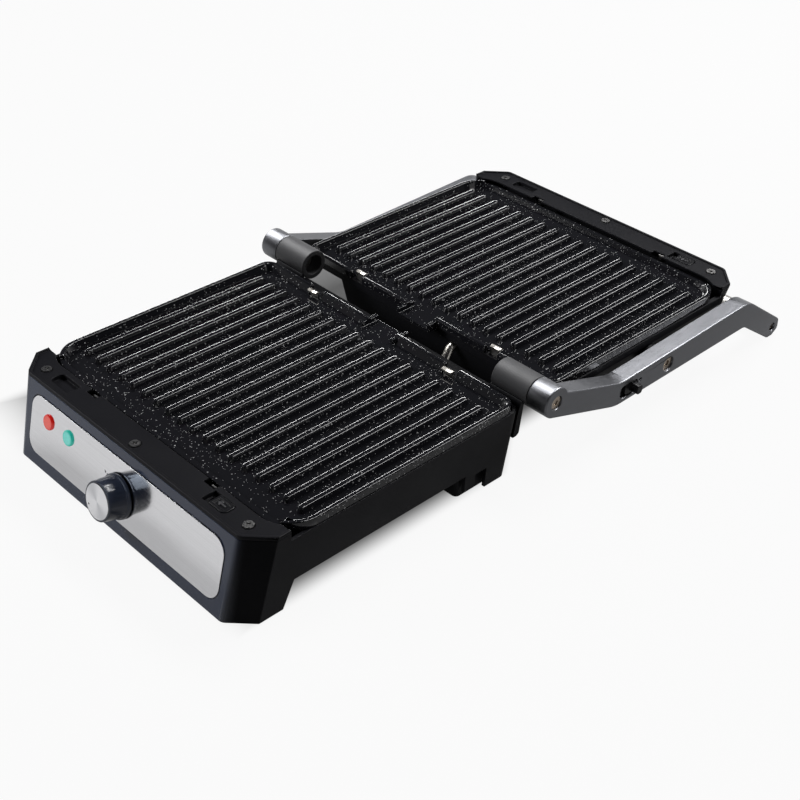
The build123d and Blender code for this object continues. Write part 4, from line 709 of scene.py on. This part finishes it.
dress(lens("red_lens", (0.85, 0.09, 0.06), -93.0 * MM), "power_lens")
dress(lens("green_lens", (0.16, 0.75, 0.66), -66.6 * MM), "working_lens")
print("lenses dressed")

# %% [markdown]
# ## Soft edges
# Moulded and pressed edges are never quite sharp, and the thin line of light along them
# is most of what shows the form of black plastic.
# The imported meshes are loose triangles, so each one is welded and its flat faces joined
# before a bevel modifier rounds the edges. The meshes themselves stay as they are.


# %% Round the edges
WELD_WITHIN, FLAT_WITHIN, EDGE_SEGMENTS = 0.002 * MM, math.radians(0.5), 2
CORNER, RIB_CORNER = math.radians(40), math.radians(68)  # only edges sharper than this


def soften(width, sharper_than, *names):
    for name in names:
        modifiers = nodes_of[name].modifiers
        modifiers.new("weld", "WELD").merge_threshold = WELD_WITHIN
        joined = modifiers.new("flat_faces", "DECIMATE")
        joined.decimate_type = "DISSOLVE"
        joined.angle_limit = FLAT_WITHIN
        edge = modifiers.new("soft_edge", "BEVEL")
        edge.width = width
        edge.segments = EDGE_SEGMENTS
        edge.limit_method = "ANGLE"
        edge.angle_limit = sharper_than
        edge.use_clamp_overlap = False
        edge.harden_normals = True


soften(0.4 * MM, CORNER, *SHELLS)
soften(0.3 * MM, CORNER, "knob_grip", *BUTTONS)
soften(0.6 * MM, CORNER, *ARMS)
soften(0.5 * MM, RIB_CORNER, *PLATES)
print("softened", sum(bool(o.modifiers) for o in nodes_of.values()), "pieces")

# %% [markdown]
# ## Small trims
# A few small things are pressed, printed or bent on afterwards: an arrow on each release button,
# a mark beside the dial, and the crowned tongues of the spring hooks that hold the plates.
# They are drawn as flat outlines, pulled up into solids and bevelled,
# as a stamping or a mould would make them.


# %% Helpers for a trim
def raised(outlines, lift, edge):
    mesh = bmesh.new()
    for outline in outlines:
        face = mesh.faces.new([mesh.verts.new(point) for point in outline])
        pulled = bmesh.ops.extrude_face_region(mesh, geom=[face])["geom"]
        top = [part for part in pulled if isinstance(part, bmesh.types.BMVert)]
        bmesh.ops.translate(mesh, verts=top, vec=lift)
        rim = [line for line in mesh.edges if all(end in top for end in line.verts)]
        bmesh.ops.bevel(
            mesh, geom=rim, affect="EDGES", offset=edge,
            segments=EDGE_SEGMENTS, profile=0.5, material=-1,
        )
    bmesh.ops.recalc_face_normals(mesh, faces=mesh.faces)
    return mesh


def trim(name, mesh, material, body):
    data = bpy.data.meshes.new(name)
    mesh.to_mesh(data)
    mesh.free()
    data.materials.append(material)
    obj = bpy.data.objects.new(name, data)
    scene.collection.objects.link(obj)
    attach(obj, body)
    print(name, len(data.polygons), "faces")
    return obj


# %% [markdown]
# ### Arrows on the release buttons
# Each button slides to the left to let go of its plate, and a moulded arrow says so.
# The arrow stands up from the button's face and stays just under the raised border.

# %% Button arrows
ARROW = (  # in millimetres from the middle of the button
    (-4, 0), (-1, 2.4), (-0.3, 1.6), (-1.6, 0.55), (4, 0.55),
    (4, -0.55), (-1.6, -0.55), (-0.3, -1.6), (-1, -2.4),
)
ARROW_LIFT, ARROW_EDGE = 1.15 * MM, 0.15 * MM
mark_grey = moulded(
    "mark_plastic", (0.09, 0.09, 0.095),
    sheen=(0.3, 0.4), scale=1200, depth=0.02 * MM, specular=0.3,
)
for name, body, (x, y, z) in (
    ("lower_arrow", "lower_release", (93.2, -264.3, 67.0)),
    ("upper_arrow", "upper_release", (93.2, 248.3, 64.0)),
):
    outline = [((x + dx) * MM, (y + dy) * MM, z * MM) for dx, dy in ARROW]
    mesh = raised([outline], (0, 0, ARROW_LIFT), ARROW_EDGE)
    trim(name, mesh, mark_grey, body)

# %% [markdown]
# ### Mark beside the dial
# A small printed pointer shows where the dial is off. It is a film of ink,
# so it stands only a tenth of a millimetre above the panel.
# The panel leans, so the outline is drawn along the panel's own directions.

# %% Dial mark
PANEL_OUT = Vector((0, -math.cos(LEAN), math.sin(LEAN)))
PANEL_PROUD = 0.5 * MM
INK_FILM, INK_EDGE = 0.1 * MM, 0.03 * MM
# outlines in millimetres from the dial's axis
POINTER = ((-19.4, 11.6), (-18.3, 9.2), (-17.2, 10.5))
DASH = ((-16.4, 9.6), (-15.9, 9.0), (-14.9, 9.9), (-15.4, 10.5))
ink = moulded(
    "mark_ink", (0.03, 0.03, 0.035),
    sheen=(0.45, 0.6), scale=900, depth=0.005 * MM, specular=0.3,
)


def on_panel(x, y):
    under_face = PANEL_ORIGIN + PANEL_OUT * (PANEL_PROUD - INK_FILM)
    return under_face + Vector((x * MM, 0, 0)) + PANEL_UP * (y * MM)


outlines = [[on_panel(x, y) for x, y in outline] for outline in (POINTER, DASH)]
mesh = raised(outlines, PANEL_OUT * (2 * INK_FILM), INK_EDGE)
trim("dial_mark", mesh, ink, "base")

# %% [markdown]
# ### Hook tongues
# The hooks that hold each plate are strips of spring steel,
# and the end of each is crowned so that the plate slides under it.
# The crown is an arc along the strip, and it is pulled out to the strip's width.
# The tongues join the pieces that the left softbox lights, as the hooks do.

# %% Hook tongues
HOOK_X, TONGUE_HALF, TONGUE_CROWN, TONGUE_STEPS = 79.0, 5.0, 1.1, 10
TONGUE_EDGE = 0.3 * MM
END_FACING = 0.5  # faces that look along X more than this are the flat ends
for name, body, far, near, top in (
    ("lower_tongues", "base", -37.9, -33.2, 66.4),
    ("upper_tongues", "lid", 21.9, 17.2, 63.4),
):
    arcs = []
    for middle in (-HOOK_X, HOOK_X):
        arc = []
        for step in range(TONGUE_STEPS + 1):
            share = step / TONGUE_STEPS
            y = far + (near - far) * share
            z = top + TONGUE_CROWN * math.sin(math.pi * share)
            arc.append(((middle - TONGUE_HALF) * MM, y * MM, z * MM))
        arcs.append(arc)
    mesh = raised(arcs, (2 * TONGUE_HALF * MM, 0, 0), TONGUE_EDGE)
    tongues = trim(name, mesh, METALS["bright_tube"], body)
    for side in tongues.data.polygons:
        side.use_smooth = abs(side.normal.x) < END_FACING
    left_softbox.light_linking.receiver_collection.objects.link(tongues)
